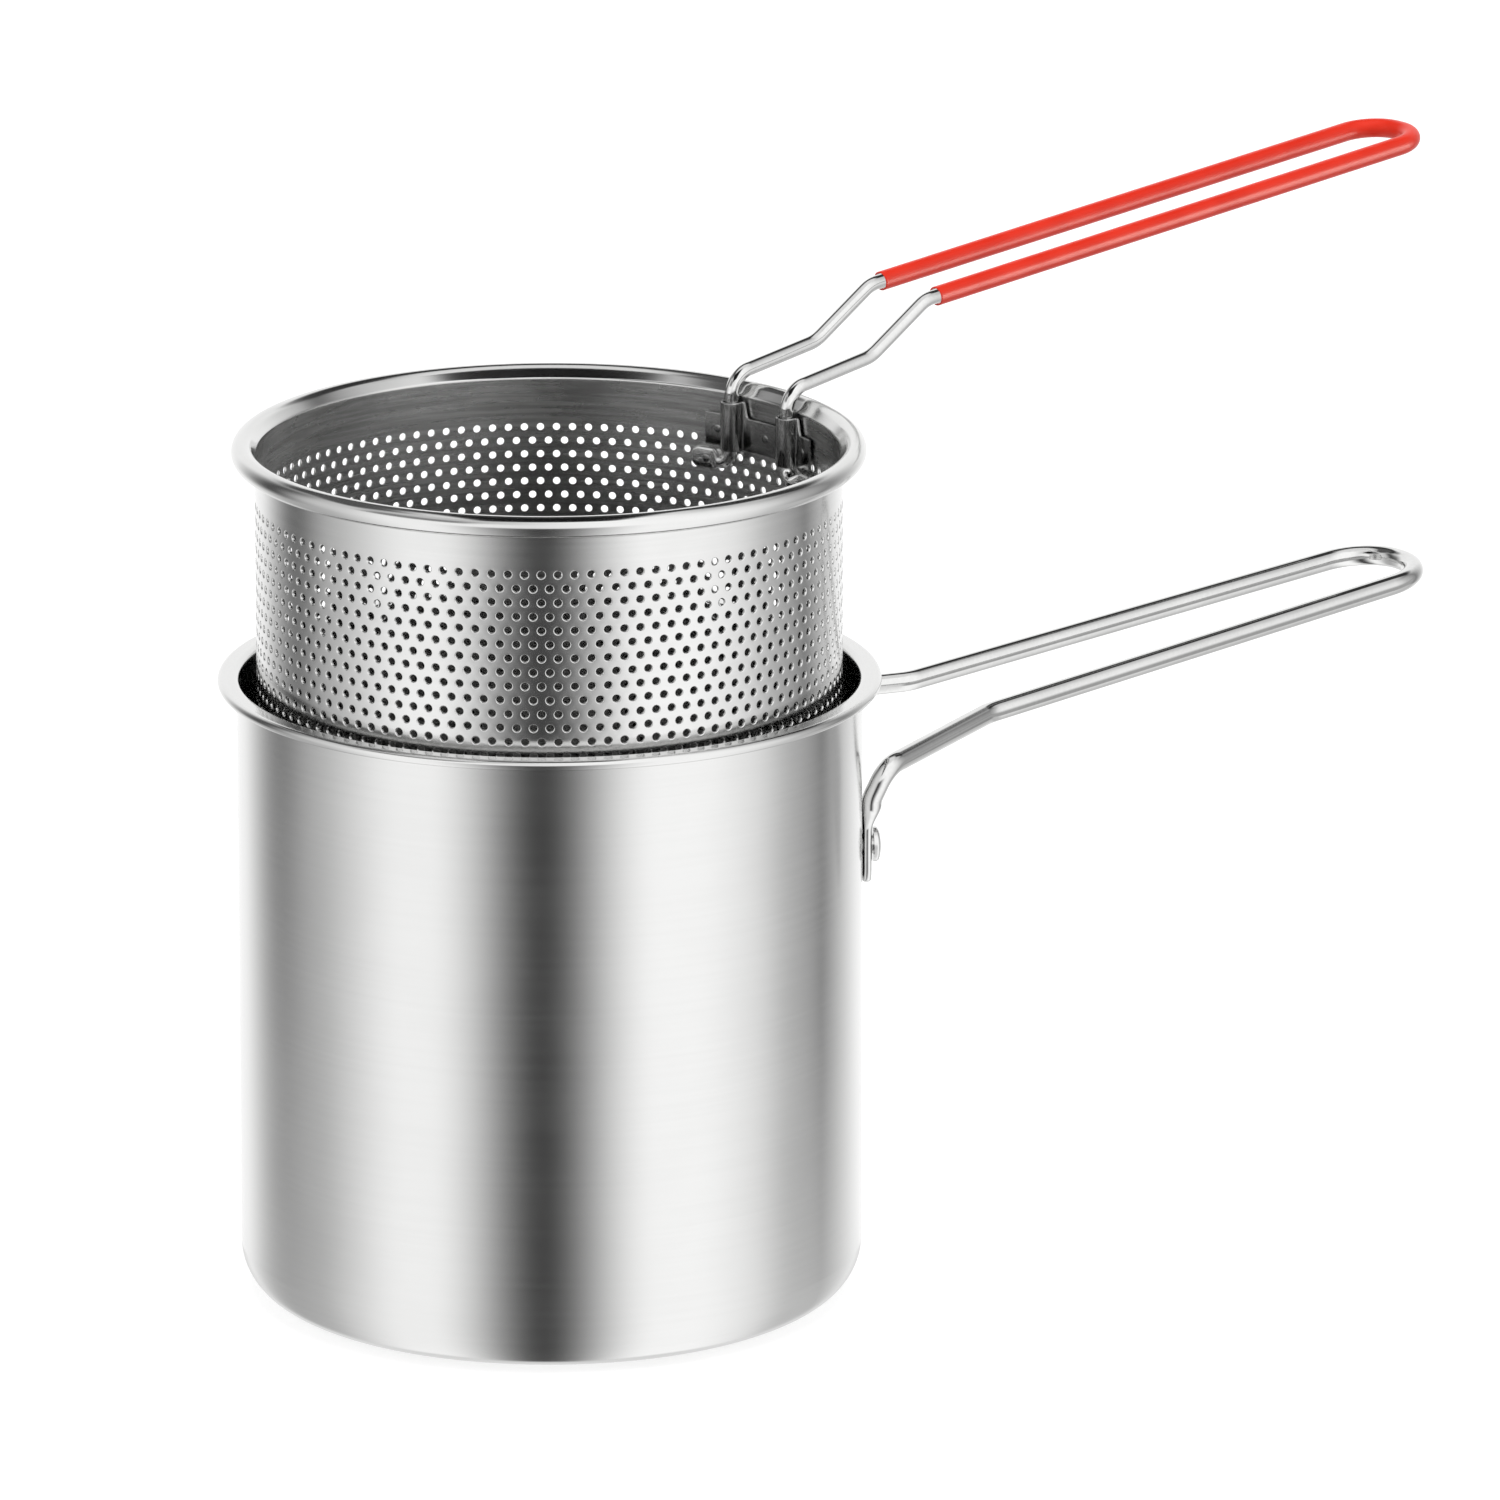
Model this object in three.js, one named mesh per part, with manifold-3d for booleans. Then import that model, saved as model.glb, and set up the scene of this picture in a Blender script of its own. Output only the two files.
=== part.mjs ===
// Deep fry pot with a lift out basket: a drawn steel pot with a riveted wire handle, and a
// round basket with a rolled rim, whose wire handle is held in a bracket inside the wall.
// Millimetres, +Z up. The origin is the centre of the pot's base, and the pot's handle runs along +X.
import * as THREE from "three";
import * as BufferGeometryUtils from "three/addons/utils/BufferGeometryUtils.js";
import Module from "manifold-3d";

// Fits that all pieces share
const touchGap = 0.3;
const cutOverrun = 2;
const mergeTolerance = 1e-4;

// How finely round things are faceted
const fullTurn = 2 * Math.PI;
const quarterTurn = Math.PI / 2;
const roundSides = 48;
const wireSides = 12;
const rivetSides = 16;
const rimWireSides = 8;
const bendStep = THREE.MathUtils.degToRad(18);
const tipSteps = 3;
const pressSteps = 3;
const cornerSteps = 5;
const mouthSteps = 3;
const hemSteps = 4;
const headSteps = 2;
const rollSteps = 10;
const baseCornerSteps = 3;
const channelSteps = 8;
const flangeSteps = 3;
const webSteps = 5;

// Pot shell
const potRadius = 60;
const potHeight = 122.8;
const potWall = 0.6;
const potCorner = 9.9;
const potMouthBend = 1.3;
const potRimReach = 3.7;
const potRimThickness = 2;
const potHemReturn = 1.4;

// Pot handle, one wire whose two ends are pressed flat and riveted to the wall.
// Drops are below the pot's rim, and stand-offs are out from its wall.
const potWire = 4;
const potLegAngle = THREE.MathUtils.degToRad(26);
const potFootDrop = 43.9;
const potFootThickness = 1.9;
const potFootWidth = 6.4;
const potPressLength = 4.6;
const potLegDrop = 27.5;
const potLegBend = 5;
const potElbowDrop = 21.1;
const potElbowStandOff = 5.3;
const potKinkDrop = 18.8;
const potKinkStandOff = 32;
const potKinkHalfWidth = 14;
const potKinkBend = 9;
const potGripLength = 108.2;
const potGripHalfWidth = 10.9;
const potGripRise = THREE.MathUtils.degToRad(6.3);
const potGripEndBend = 10.6;

// Rivets
const rivetAboveTip = 7.5;
const rivetHeadRadius = 3.4;
const rivetHeadHeight = 1.5;
const rivetHeadRound = 0.5;
const rivetShankRadius = 1.8;
const rivetTailRadius = 3.1;
const rivetTailHeight = 0.9;

// Basket, which hangs in the pot's mouth by its rolled rim and is drawn lifted from there
const basketClearance = 3.2;
const basketFloorGap = 14;
const basketWall = 0.5;
const basketLift = 42.4;
const basketTurn = THREE.MathUtils.degToRad(8);
const rimRollRadius = 2.15;
const rimRollEnd = THREE.MathUtils.degToRad(-120);
const rimNeckReach = 2.4;
const rimNeckHeight = 3.4;
const rimWireFit = 0.35;
const baseLip = 5;
const baseCorner = 2.5;

// Basket handle, one wire held by a bracket inside the wall, its feet pressed flat on the wall.
// Heights are above the middle of the rolled rim, and depths are below it.
const basketWire = 2.8;
const legHalfSpacing = 8.1;
const footDepth = 13.4;
const footLength = 10;
const footThickness = 1.3;
const footHeight = 4.4;
const footBend = 2.6;
const footPressLength = 2.4;
const overRimGap = 0.45;
const overRimBend = 5;
const stepStandOff = 16.3;
const stepHeight = 7.4;
const stepBend = 8;
const stepLength = 14.1;
const gripStartHeight = 16.4;
const gripStartBend = 7;
const basketGripLength = 133.5;
const basketGripHalfWidth = 7.9;
const basketGripRise = THREE.MathUtils.degToRad(4.9);
const basketGripEndBend = 7.4;

// Handle bracket, whose depths are below the middle of the rolled rim
const bracketSheet = 0.5;
const bracketTop = 1;
const bracketBottom = 10.8;
const flangeTop = 4.2;
const flangeLength = 5.2;

// Grip sleeve
const sleeveSetBack = 2.6;
const sleeveFit = 0.2;
const sleeveWall = 0.3;

// Finishes
const drawnSteel = { roughness: 0.28, metalness: 1 };
const polishedSteel = { roughness: 0.16, metalness: 1 };
const dullSteel = { roughness: 0.5, metalness: 1 };
const softPlastic = { roughness: 0.3, metalness: 0 };

const wasm = await Module();
wasm.setup();

// A closed geometry as a solid that can be joined and cut
function toSolid(geometry) {
  const bare = geometry.index ? geometry.toNonIndexed() : geometry.clone();
  bare.deleteAttribute("normal");
  bare.deleteAttribute("uv");
  const merged = BufferGeometryUtils.mergeVertices(bare, mergeTolerance);
  return new wasm.Manifold(
    new wasm.Mesh({
      numProp: 3,
      vertProperties: new Float32Array(merged.attributes.position.array),
      triVerts: new Uint32Array(merged.index.array),
    }),
  );
}

// A solid back as a geometry
function toGeometry(solid) {
  const mesh = solid.getMesh();
  const geometry = new THREE.BufferGeometry();
  geometry.setAttribute("position", new THREE.BufferAttribute(mesh.vertProperties, 3));
  geometry.setIndex(new THREE.BufferAttribute(mesh.triVerts, 1));
  geometry.computeVertexNormals();
  return geometry;
}

// A surface turned about the Z axis from points [radius, height]
function turned(points, sides = roundSides) {
  const profile = points.map(([radius, height]) => new THREE.Vector2(Math.max(radius, 0), height));
  const geometry = new THREE.LatheGeometry(profile, sides);
  geometry.rotateX(quarterTurn);
  return geometry;
}

// How near a faceted circle's flats come to its middle, as a share of its radius
function flatShare(sides) {
  return Math.cos(Math.PI / sides);
}

// Points on an arc about [x, y], both ends included
function arc(x, y, radius, start, end, steps) {
  return Array.from({ length: steps + 1 }, (_, i) => {
    const angle = start + ((end - start) * i) / steps;
    return [x + radius * Math.cos(angle), y + radius * Math.sin(angle)];
  });
}

// The middle line of a sheet as a closed outline of that thickness
function sheetOutline(line, thickness) {
  const sides = [1, -1].map((side) =>
    line.map(([x, y], i) => {
      const [beforeX, beforeY] = line[Math.max(i - 1, 0)];
      const [afterX, afterY] = line[Math.min(i + 1, line.length - 1)];
      const run = Math.hypot(afterX - beforeX, afterY - beforeY);
      const reach = (side * thickness) / 2 / run;
      return [x + (afterY - beforeY) * reach, y - (afterX - beforeX) * reach];
    }),
  );
  return [...sides[0], ...sides[1].reverse()];
}

// A route with points only where it bends: dense on the bends, bare on the straight runs
class WireRoute extends THREE.Curve {
  constructor(stations) {
    super();
    this.stations = stations;
  }
  get steps() {
    return this.stations.length - 1;
  }
  getPoint(t, target = new THREE.Vector3()) {
    const place = t * this.steps;
    const i = Math.min(Math.floor(place), this.steps - 1);
    return target.lerpVectors(this.stations[i], this.stations[i + 1], place - i);
  }
  getPointAt(u, target) {
    return this.getPoint(u, target);
  }
  getTangent(t, target = new THREE.Vector3()) {
    const i = Math.round(t * this.steps);
    const here = this.stations[i];
    const before = this.stations[Math.max(i - 1, 0)];
    const after = this.stations[Math.min(i + 1, this.steps)];
    const ahead = after.clone().sub(here).normalize();
    return target.copy(here).sub(before).normalize().add(ahead).normalize();
  }
  getTangentAt(u, target) {
    return this.getTangent(u, target);
  }
}

// Stations along straight runs between corners, with each corner rounded to its bend radius
function stationsThrough(corners) {
  const stations = [corners[0].at];
  for (let i = 1; i < corners.length - 1; i += 1) {
    const { at, bend } = corners[i];
    const back = corners[i - 1].at.clone().sub(at).normalize();
    const on = corners[i + 1].at.clone().sub(at).normalize();
    const turn = Math.PI - back.angleTo(on);
    const run = bend * Math.tan(turn / 2);
    const centre = back.clone().add(on).normalize().multiplyScalar(Math.hypot(bend, run)).add(at);
    const start = back.clone().multiplyScalar(run).add(at).sub(centre);
    const end = on.clone().multiplyScalar(run).add(at).sub(centre);
    const steps = Math.max(2, Math.ceil(turn / bendStep));
    for (let step = 0; step <= steps; step += 1) {
      const share = step / steps;
      const near = Math.sin((1 - share) * turn) / Math.sin(turn);
      const far = Math.sin(share * turn) / Math.sin(turn);
      stations.push(start.clone().multiplyScalar(near).addScaledVector(end, far).add(centre));
    }
  }
  stations.push(corners[corners.length - 1].at);
  return stations;
}

// A circle as a shape, with corners on the true radius
function roundShape(radius) {
  const points = arc(0, 0, radius, 0, fullTurn, wireSides).slice(0, wireSides);
  return new THREE.Shape(points.map(([x, y]) => new THREE.Vector2(x, y)));
}

// A round wire along a list of stations, or a round tube whose bore has its flats on the bore radius
function sweptRound(stations, radius, boreRadius = 0) {
  const route = new WireRoute(stations);
  const shape = roundShape(radius);
  if (boreRadius > 0) {
    const bore = roundShape(boreRadius / flatShare(wireSides));
    shape.holes.push(new THREE.Path(bore.getPoints().reverse()));
  }
  return new THREE.ExtrudeGeometry(shape, { steps: route.steps, extrudePath: route });
}

// A list of stations whose first straight run is an end that gets pressed flat. It gains stations
// along the foot's round tip and along the press, where the foot turns back into round wire.
function withFoot(stations, { width, press }) {
  const [tip, bendStart, ...rest] = stations;
  const straight = tip.distanceTo(bendStart);
  const flat = straight - press;
  const tipRuns = arc(width / 2, 0, width / 2, Math.PI, quarterTurn, tipSteps).map(([run]) => run);
  const pressRuns = Array.from({ length: pressSteps }, (_, i) => flat + (press * i) / pressSteps);
  const foot = [...tipRuns, ...pressRuns].map((run) => tip.clone().lerp(bendStart, run / straight));
  return [...foot, bendStart, ...rest];
}

// Presses one end of a wire flat against a face. ends holds the foot's tip and the start of the
// first bend, out is the face's normal, and face is how far along out the face lies.
function pressFoot(geometry, { ends, out, face, wire, width, thickness, press }) {
  const [tip, bendStart] = ends;
  const straight = tip.distanceTo(bendStart);
  const along = bendStart.clone().sub(tip).normalize();
  const across = new THREE.Vector3().crossVectors(out, along);
  const position = geometry.attributes.position;
  const vertex = new THREE.Vector3();
  for (let i = 0; i < position.count; i += 1) {
    vertex.fromBufferAttribute(position, i);
    const fromTip = vertex.clone().sub(tip);
    const run = fromTip.dot(along);
    const side = fromTip.dot(across);
    const height = vertex.dot(out) - face;
    const onEnd = Math.abs(side) < wire && Math.abs(fromTip.dot(out)) < wire;
    if (!onEnd || run > straight || run < -touchGap) {
      continue;
    }
    const pressed = THREE.MathUtils.smoothstep(straight - run, 0, press);
    const tipShare = Math.sqrt(Math.max(0, 1 - (1 - Math.min(1, (2 * run) / width)) ** 2));
    const narrow = Math.max(tipShare, thickness / width);
    const widen = THREE.MathUtils.lerp(1, (width / wire) * narrow, pressed);
    const thin = THREE.MathUtils.lerp(1, thickness / wire, pressed);
    vertex.addScaledVector(across, side * (widen - 1));
    vertex.addScaledVector(out, height * (thin - 1));
    position.setXYZ(i, vertex.x, vertex.y, vertex.z);
  }
}

// A named piece with its own material
function piece(name, geometry, color, finish) {
  const mesh = new THREE.Mesh(geometry, new THREE.MeshStandardMaterial({ color, ...finish }));
  mesh.name = name;
  return mesh;
}

const part = new THREE.Group();

// Places on the pot that its shell, handle and rivets share
const footFace = potRadius + touchGap;
const footTipHeight = potHeight - potFootDrop;
const rivetHeight = footTipHeight + rivetAboveTip;
const legDirections = [-1, 1].map(
  (side) => new THREE.Vector3(Math.cos(potLegAngle), side * Math.sin(potLegAngle), 0),
);

// A turned shape laid along a rivet's axis, from points [radius, distance from the pot's axis]
function alongRivet(points, direction) {
  const geometry = turned(points, rivetSides);
  const up = new THREE.Vector3(0, 0, 1);
  geometry.applyQuaternion(new THREE.Quaternion().setFromUnitVectors(up, direction));
  geometry.translate(0, 0, rivetHeight);
  return geometry;
}

// A geometry with both rivet holes cut through it
function withRivetHoles(geometry) {
  const hole = rivetShankRadius + touchGap;
  const inner = potRadius - potWall - cutOverrun;
  const outer = footFace + potFootThickness + cutOverrun;
  const points = [
    [0, inner],
    [hole, inner],
    [hole, outer],
    [0, outer],
  ];
  const holes = legDirections.map((direction) => toSolid(alongRivet(points, direction)));
  return toGeometry(holes.reduce((solid, cut) => solid.subtract(cut), toSolid(geometry)));
}

// Pot shell: one drawn sheet with a flat base, a round corner, a straight wall and an outward hem
function potShell() {
  const half = potWall / 2;
  const middle = potRadius - half;
  const corner = potCorner - half;
  const bend = potMouthBend - half;
  const rimTop = potHeight - half;
  const hem = (potRimThickness - potWall) / 2;
  const hemCentre = potRadius + potRimReach - half - hem;
  const line = [
    [0, half],
    ...arc(middle - corner, half + corner, corner, -quarterTurn, 0, cornerSteps),
    ...arc(middle + bend, rimTop - bend, bend, Math.PI, quarterTurn, mouthSteps),
    ...arc(hemCentre, rimTop - hem, hem, quarterTurn, -quarterTurn, hemSteps),
    [hemCentre - potHemReturn, rimTop - 2 * hem],
  ];
  return withRivetHoles(turned(sheetOutline(line, potWall)));
}
part.add(piece("pot_shell", potShell(), 0xc9cbcd, drawnSteel));

// One side of the pot's handle, from the foot's tip to the far corner of the grip
function potHandleSide(direction) {
  const side = Math.sign(direction.y);
  const leg = (radius, height) => direction.clone().multiplyScalar(radius).setZ(height);
  const legRadius = footFace + potWire / 2;
  const kinkReach = potRadius + potKinkStandOff;
  const kinkHeight = potHeight - potKinkDrop;
  const endHeight = kinkHeight + potGripLength * Math.tan(potGripRise);
  return [
    { at: leg(legRadius, footTipHeight) },
    { at: leg(legRadius, potHeight - potLegDrop), bend: potLegBend },
    { at: leg(potRadius + potElbowStandOff, potHeight - potElbowDrop), bend: potLegBend },
    { at: new THREE.Vector3(kinkReach, side * potKinkHalfWidth, kinkHeight), bend: potKinkBend },
    {
      at: new THREE.Vector3(kinkReach + potGripLength, side * potGripHalfWidth, endHeight),
      bend: potGripEndBend,
    },
  ];
}

function potHandle() {
  const [right, left] = legDirections.map(potHandleSide);
  const foot = { width: potFootWidth, press: potPressLength };
  const route = stationsThrough([...right, ...left.reverse()]);
  const stations = withFoot(withFoot(route, foot).reverse(), foot);
  const geometry = sweptRound(stations, potWire / 2);
  [route.slice(0, 2), route.slice(-2).reverse()].forEach((ends, i) => {
    pressFoot(geometry, {
      ends,
      out: legDirections[i],
      face: footFace,
      wire: potWire,
      thickness: potFootThickness,
      ...foot,
    });
  });
  return withRivetHoles(geometry);
}
part.add(piece("pot_handle_wire", potHandle(), 0xd4d6d8, polishedSteel));

// Rivets: a low round head on the foot, a shank through the wall and a flat tail inside the pot
function rivet(direction) {
  const headSeat = footFace + potFootThickness + touchGap;
  const headTop = headSeat + rivetHeadHeight;
  const roundCentre = [rivetHeadRadius - rivetHeadRound, headTop - rivetHeadRound];
  const innerWall = potRadius - potWall;
  const tailFace = Math.sqrt(innerWall ** 2 - rivetTailRadius ** 2) * flatShare(roundSides);
  const tailSeat = tailFace - touchGap;
  const tailEnd = tailSeat - rivetTailHeight;
  const points = [
    [0, tailEnd],
    [rivetTailRadius, tailEnd],
    [rivetTailRadius, tailSeat],
    [rivetShankRadius, tailSeat],
    [rivetShankRadius, headSeat],
    [rivetHeadRadius, headSeat],
    ...arc(...roundCentre, rivetHeadRound, 0, quarterTurn, headSteps),
    [0, headTop],
  ];
  return alongRivet(points, direction);
}
["pot_rivet_right", "pot_rivet_left"].forEach((name, i) => {
  part.add(piece(name, rivet(legDirections[i]), 0xd8dadc, polishedSteel));
});

// The basket's own frame has its origin at the middle of the rolled rim, and its handle along +X.
// Seated, the roll rests in the bend of the pot's mouth.
const basketRadius = potRadius - potWall - basketClearance;
const rimRollCentre = basketRadius + rimNeckReach;
const mouthBendCentre = potRadius - potWall + potMouthBend;
const seatDistance = rimRollRadius + potMouthBend + touchGap;
const seatRise = Math.sqrt(seatDistance ** 2 - (mouthBendCentre - rimRollCentre) ** 2);
const seatedHeight = potHeight - potMouthBend + seatRise;
const basketDepth = seatedHeight - potWall - basketFloorGap;
const innerWallRadius = (basketRadius - basketWall) * flatShare(roundSides);
const basket = new THREE.Group();
basket.position.z = seatedHeight + basketLift;
basket.rotation.z = basketTurn;
part.add(basket);

// Basket wall: a straight sheet that necks out and rolls round the rim wire
function basketShell() {
  const half = basketWall / 2;
  const middle = basketRadius - half;
  const line = [
    [middle, -basketDepth],
    [middle, -rimNeckHeight],
    ...arc(rimRollCentre, 0, rimRollRadius - half, Math.PI, rimRollEnd, rollSteps),
  ];
  const outline = sheetOutline(line, basketWall);
  return turned([...outline, outline[0]]);
}
basket.add(piece("basket_wall", basketShell(), 0xc4c6c8, drawnSteel));

// Rim wire: the ring inside the roll
function rimWire() {
  const radius = rimRollRadius - basketWall - rimWireFit;
  return new THREE.TorusGeometry(rimRollCentre, radius, rimWireSides, roundSides);
}
basket.add(piece("basket_rim_wire", rimWire(), 0x9a9c9e, dullSteel));

// Basket base: a disc with an upturned lip that fits inside the wall
function basketBase() {
  const half = basketWall / 2;
  const middle = innerWallRadius - touchGap - half;
  const corner = baseCorner - half;
  const bottom = half - basketDepth;
  const line = [
    [0, bottom],
    ...arc(middle - corner, bottom + corner, corner, -quarterTurn, 0, baseCornerSteps),
    [middle, baseLip - basketDepth],
  ];
  return turned(sheetOutline(line, basketWall));
}
basket.add(piece("basket_base", basketBase(), 0xbfc1c3, drawnSteel));

// Places that the basket's wire and bracket share: the legs stand just inside the wall
const legReach = innerWallRadius - touchGap - basketWire / 2;
const legX = Math.sqrt(legReach ** 2 - legHalfSpacing ** 2);
const legAngle = Math.atan2(legHalfSpacing, legX);

// One side of the basket's handle, from the foot's tip to where the grip starts
function basketHandleSide(side) {
  const onWall = (angle) =>
    new THREE.Vector3(legReach * Math.cos(angle), side * legReach * Math.sin(angle), -footDepth);
  const out = (reach, height) => new THREE.Vector3(reach, side * legHalfSpacing, height);
  const overRim = rimRollRadius + overRimGap + basketWire / 2;
  const stepReach = rimRollCentre + stepStandOff;
  return [
    { at: onWall(legAngle + footLength / legReach) },
    { at: onWall(legAngle), bend: footBend },
    { at: out(legX, overRim), bend: overRimBend },
    { at: out(stepReach, stepHeight), bend: stepBend },
    { at: out(stepReach + stepLength, gripStartHeight), bend: gripStartBend },
  ];
}
const basketSides = [-1, 1].map(basketHandleSide);

// A place on one side of the grip, some way along it
function onGrip(side, run) {
  const halfWidth = THREE.MathUtils.lerp(legHalfSpacing, basketGripHalfWidth, run / basketGripLength);
  const reach = rimRollCentre + stepStandOff + stepLength + run;
  return new THREE.Vector3(reach, side * halfWidth, gripStartHeight + run * Math.tan(basketGripRise));
}

// The sleeve follows the grip out and back, and the wire runs on through it
const gripEnds = [-1, 1].map((side) => ({
  at: onGrip(side, basketGripLength),
  bend: basketGripEndBend,
}));
const sleeveStarts = [-1, 1].map((side) => ({ at: onGrip(side, sleeveSetBack) }));
const sleeveStations = stationsThrough([sleeveStarts[0], ...gripEnds, sleeveStarts[1]]);

function basketHandle() {
  const foot = { width: footHeight, press: footPressLength };
  const routes = basketSides.map((corners, i) => stationsThrough([...corners, sleeveStarts[i]]));
  const [right, left] = routes.map((route) => withFoot(route, foot));
  const stations = [...right, ...sleeveStations.slice(1, -1), ...left.reverse()];
  const geometry = sweptRound(stations, basketWire / 2);
  routes.forEach((route) => {
    const ends = route.slice(0, 2);
    const along = ends[1].clone().sub(ends[0]);
    const inward = new THREE.Vector3().crossVectors(along, new THREE.Vector3(0, 0, 1)).normalize();
    inward.multiplyScalar(-Math.sign(inward.x));
    pressFoot(geometry, {
      ends,
      out: inward,
      face: ends[0].dot(inward) - basketWire / 2,
      wire: basketWire,
      thickness: footThickness,
      ...foot,
    });
  });
  return geometry;
}
basket.add(piece("basket_handle_wire", basketHandle(), 0xd4d6d8, polishedSteel));

// Grip sleeve: a soft tube over the long loop of the handle
function gripSleeve() {
  const bore = basketWire / 2 + sleeveFit;
  return sweptRound(sleeveStations, bore + sleeveWall, bore);
}
basket.add(piece("grip_sleeve", gripSleeve(), 0xe8402c, softPlastic));

// The outline of a bent strip, given by its middle line, raised between two heights
function bracketStrip(line, bottom, top) {
  const outline = sheetOutline(line, bracketSheet).map(([x, y]) => new THREE.Vector2(x, y));
  const shape = new THREE.Shape(outline);
  const geometry = new THREE.ExtrudeGeometry(shape, { depth: top - bottom, bevelEnabled: false });
  geometry.translate(0, 0, bottom);
  return toSolid(geometry);
}

// Handle bracket: one strip with a channel over each leg, a web between them and two flanges
function handleBracket() {
  const flat = innerWallRadius - touchGap - bracketSheet / 2;
  const channel = basketWire / 2 + touchGap + bracketSheet / 2;
  const armAngle = channel / flat;
  const endAngle = legAngle + armAngle + flangeLength / flat;
  const onFlat = (start, end, steps) => arc(0, 0, flat, start, end, steps);
  const overLeg = (angle) => {
    const centre = [legReach * Math.cos(angle), legReach * Math.sin(angle)];
    return arc(...centre, channel, angle - quarterTurn, angle - 3 * quarterTurn, channelSteps);
  };
  const strip = [
    ...onFlat(-endAngle, -legAngle - armAngle, flangeSteps),
    ...overLeg(-legAngle),
    ...onFlat(armAngle - legAngle, legAngle - armAngle, webSteps),
    ...overLeg(legAngle),
    ...onFlat(legAngle + armAngle, endAngle, flangeSteps),
  ];
  const channels = [-legAngle, legAngle].map((angle) => {
    const [first, last] = onFlat(angle - armAngle, angle + armAngle, 1);
    return bracketStrip([first, ...overLeg(angle), last], -bracketBottom, -bracketTop);
  });
  const solid = bracketStrip(strip, -bracketBottom, -flangeTop);
  return toGeometry(channels.reduce((joined, next) => joined.add(next), solid));
}
basket.add(piece("handle_bracket", handleBracket(), 0xb9bbbd, drawnSteel));

export default part;
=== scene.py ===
"""Looks of a deep fry pot with a lift out basket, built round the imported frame.

The pot stands on the floor with its handle along +X. The basket is drawn half out of it and turned a little.
Lengths here are in millimetres and angles in radians, and a piece becomes metres where its mesh is made.
"""
from collections import Counter
from math import acos, asin, atan2, ceil, cos, hypot, pi, radians, sin, sqrt, tan, tau

import bpy
import numpy as np
from mathutils import Matrix, Vector
from mathutils.geometry import delaunay_2d_cdt
from numpy.linalg import norm

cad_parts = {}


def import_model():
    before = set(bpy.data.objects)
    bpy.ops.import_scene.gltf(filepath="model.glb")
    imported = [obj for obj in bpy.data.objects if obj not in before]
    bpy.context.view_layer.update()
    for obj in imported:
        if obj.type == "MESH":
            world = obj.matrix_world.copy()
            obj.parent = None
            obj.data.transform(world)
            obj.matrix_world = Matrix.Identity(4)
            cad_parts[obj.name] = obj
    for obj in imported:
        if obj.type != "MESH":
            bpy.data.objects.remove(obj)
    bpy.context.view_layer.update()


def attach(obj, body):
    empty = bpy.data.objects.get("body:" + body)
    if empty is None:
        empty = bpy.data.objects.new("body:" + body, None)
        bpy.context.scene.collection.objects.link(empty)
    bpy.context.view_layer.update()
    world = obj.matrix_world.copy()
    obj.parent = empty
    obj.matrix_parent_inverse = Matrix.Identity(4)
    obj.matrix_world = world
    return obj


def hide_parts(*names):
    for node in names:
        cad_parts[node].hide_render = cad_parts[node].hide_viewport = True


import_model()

# Shared fits and fineness. Normals that belong to no point are counted from APART.
MM = 0.001
TINY = 1e-6
APART = 10**7
UP = np.array([0, 0, 1.0])
ARC_STEP, BEND_STEP, EDGE_STEP = radians(8), radians(5), radians(30)
SUPPORT = 0.25
POT_SIDES, WIRE_SIDES, RIVET_SIDES, WELD_SIDES, FLOOR_SIDES = 288, 40, 48, 24, 64
SHARP_EDGE = radians(55)
TOUCH_GAP = 0.3

# Feet pressed from wire: the stations in each soft run, how square the section gets, and its least size at the tip
FOOT_STEPS, FOOT_SQUARENESS, TIP_LEAST_WIDE, TIP_LEAST_TALL = 12, 1.4, 0.002, 0.02

# Pot shell
POT_RADIUS, POT_HEIGHT, POT_WALL = 60, 122.8, 0.6
POT_CORNER, POT_MOUTH_BEND = 9.9, 1.3
POT_RIM_REACH, POT_RIM_THICKNESS, POT_HEM_RETURN = 3.7, 2, 1.4

# Pot handle: drops are below the rim and stand-offs are out from the wall
POT_WIRE, POT_LEG_ANGLE = 4, radians(26)
POT_FOOT_DROP, POT_FOOT_THICKNESS, POT_FOOT_WIDTH, POT_PRESS = 43.9, 1.9, 6.4, 4.6
POT_LEG_DROP, POT_LEG_BEND = 27.5, 5
POT_ELBOW_DROP, POT_ELBOW_STAND_OFF = 21.1, 5.3
POT_KINK_DROP, POT_KINK_STAND_OFF, POT_KINK_HALF_WIDTH, POT_KINK_BEND = 18.8, 32, 14, 9
POT_GRIP_LENGTH, POT_GRIP_HALF_WIDTH, POT_GRIP_RISE, POT_GRIP_BEND = 108.2, 10.9, radians(6.3), 10.6

# Rivets
RIVET_ABOVE_TIP, ROUND_RIVET = 7.5, 6
RIVET_HEAD_RADIUS, RIVET_HEAD_HEIGHT, RIVET_HEAD_ROUND, RIVET_CROWN = 3.4, 1.5, 0.6, 0.35
RIVET_SHANK_RADIUS, RIVET_TAIL_RADIUS, RIVET_TAIL_HEIGHT = 1.8, 3.1, 0.9

# Basket, in its own frame with the middle of the rolled rim at the origin
BASKET_CLEARANCE, BASKET_WALL, BASKET_FLOOR_GAP = 3.2, 0.5, 14
BASKET_LIFT, BASKET_TURN = 42.4, radians(8)
ROLL_RADIUS, ROLL_END, NECK_REACH, RIM_WIRE_FIT = 2.15, radians(-120), 2.4, 0.35
NECK_TILT, NECK_BEND = radians(40), 0.7
BASE_LIP, BASE_CORNER, BASE_FIT = 5, 2.5, 0.3
CAD_SIDES = 48

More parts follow.
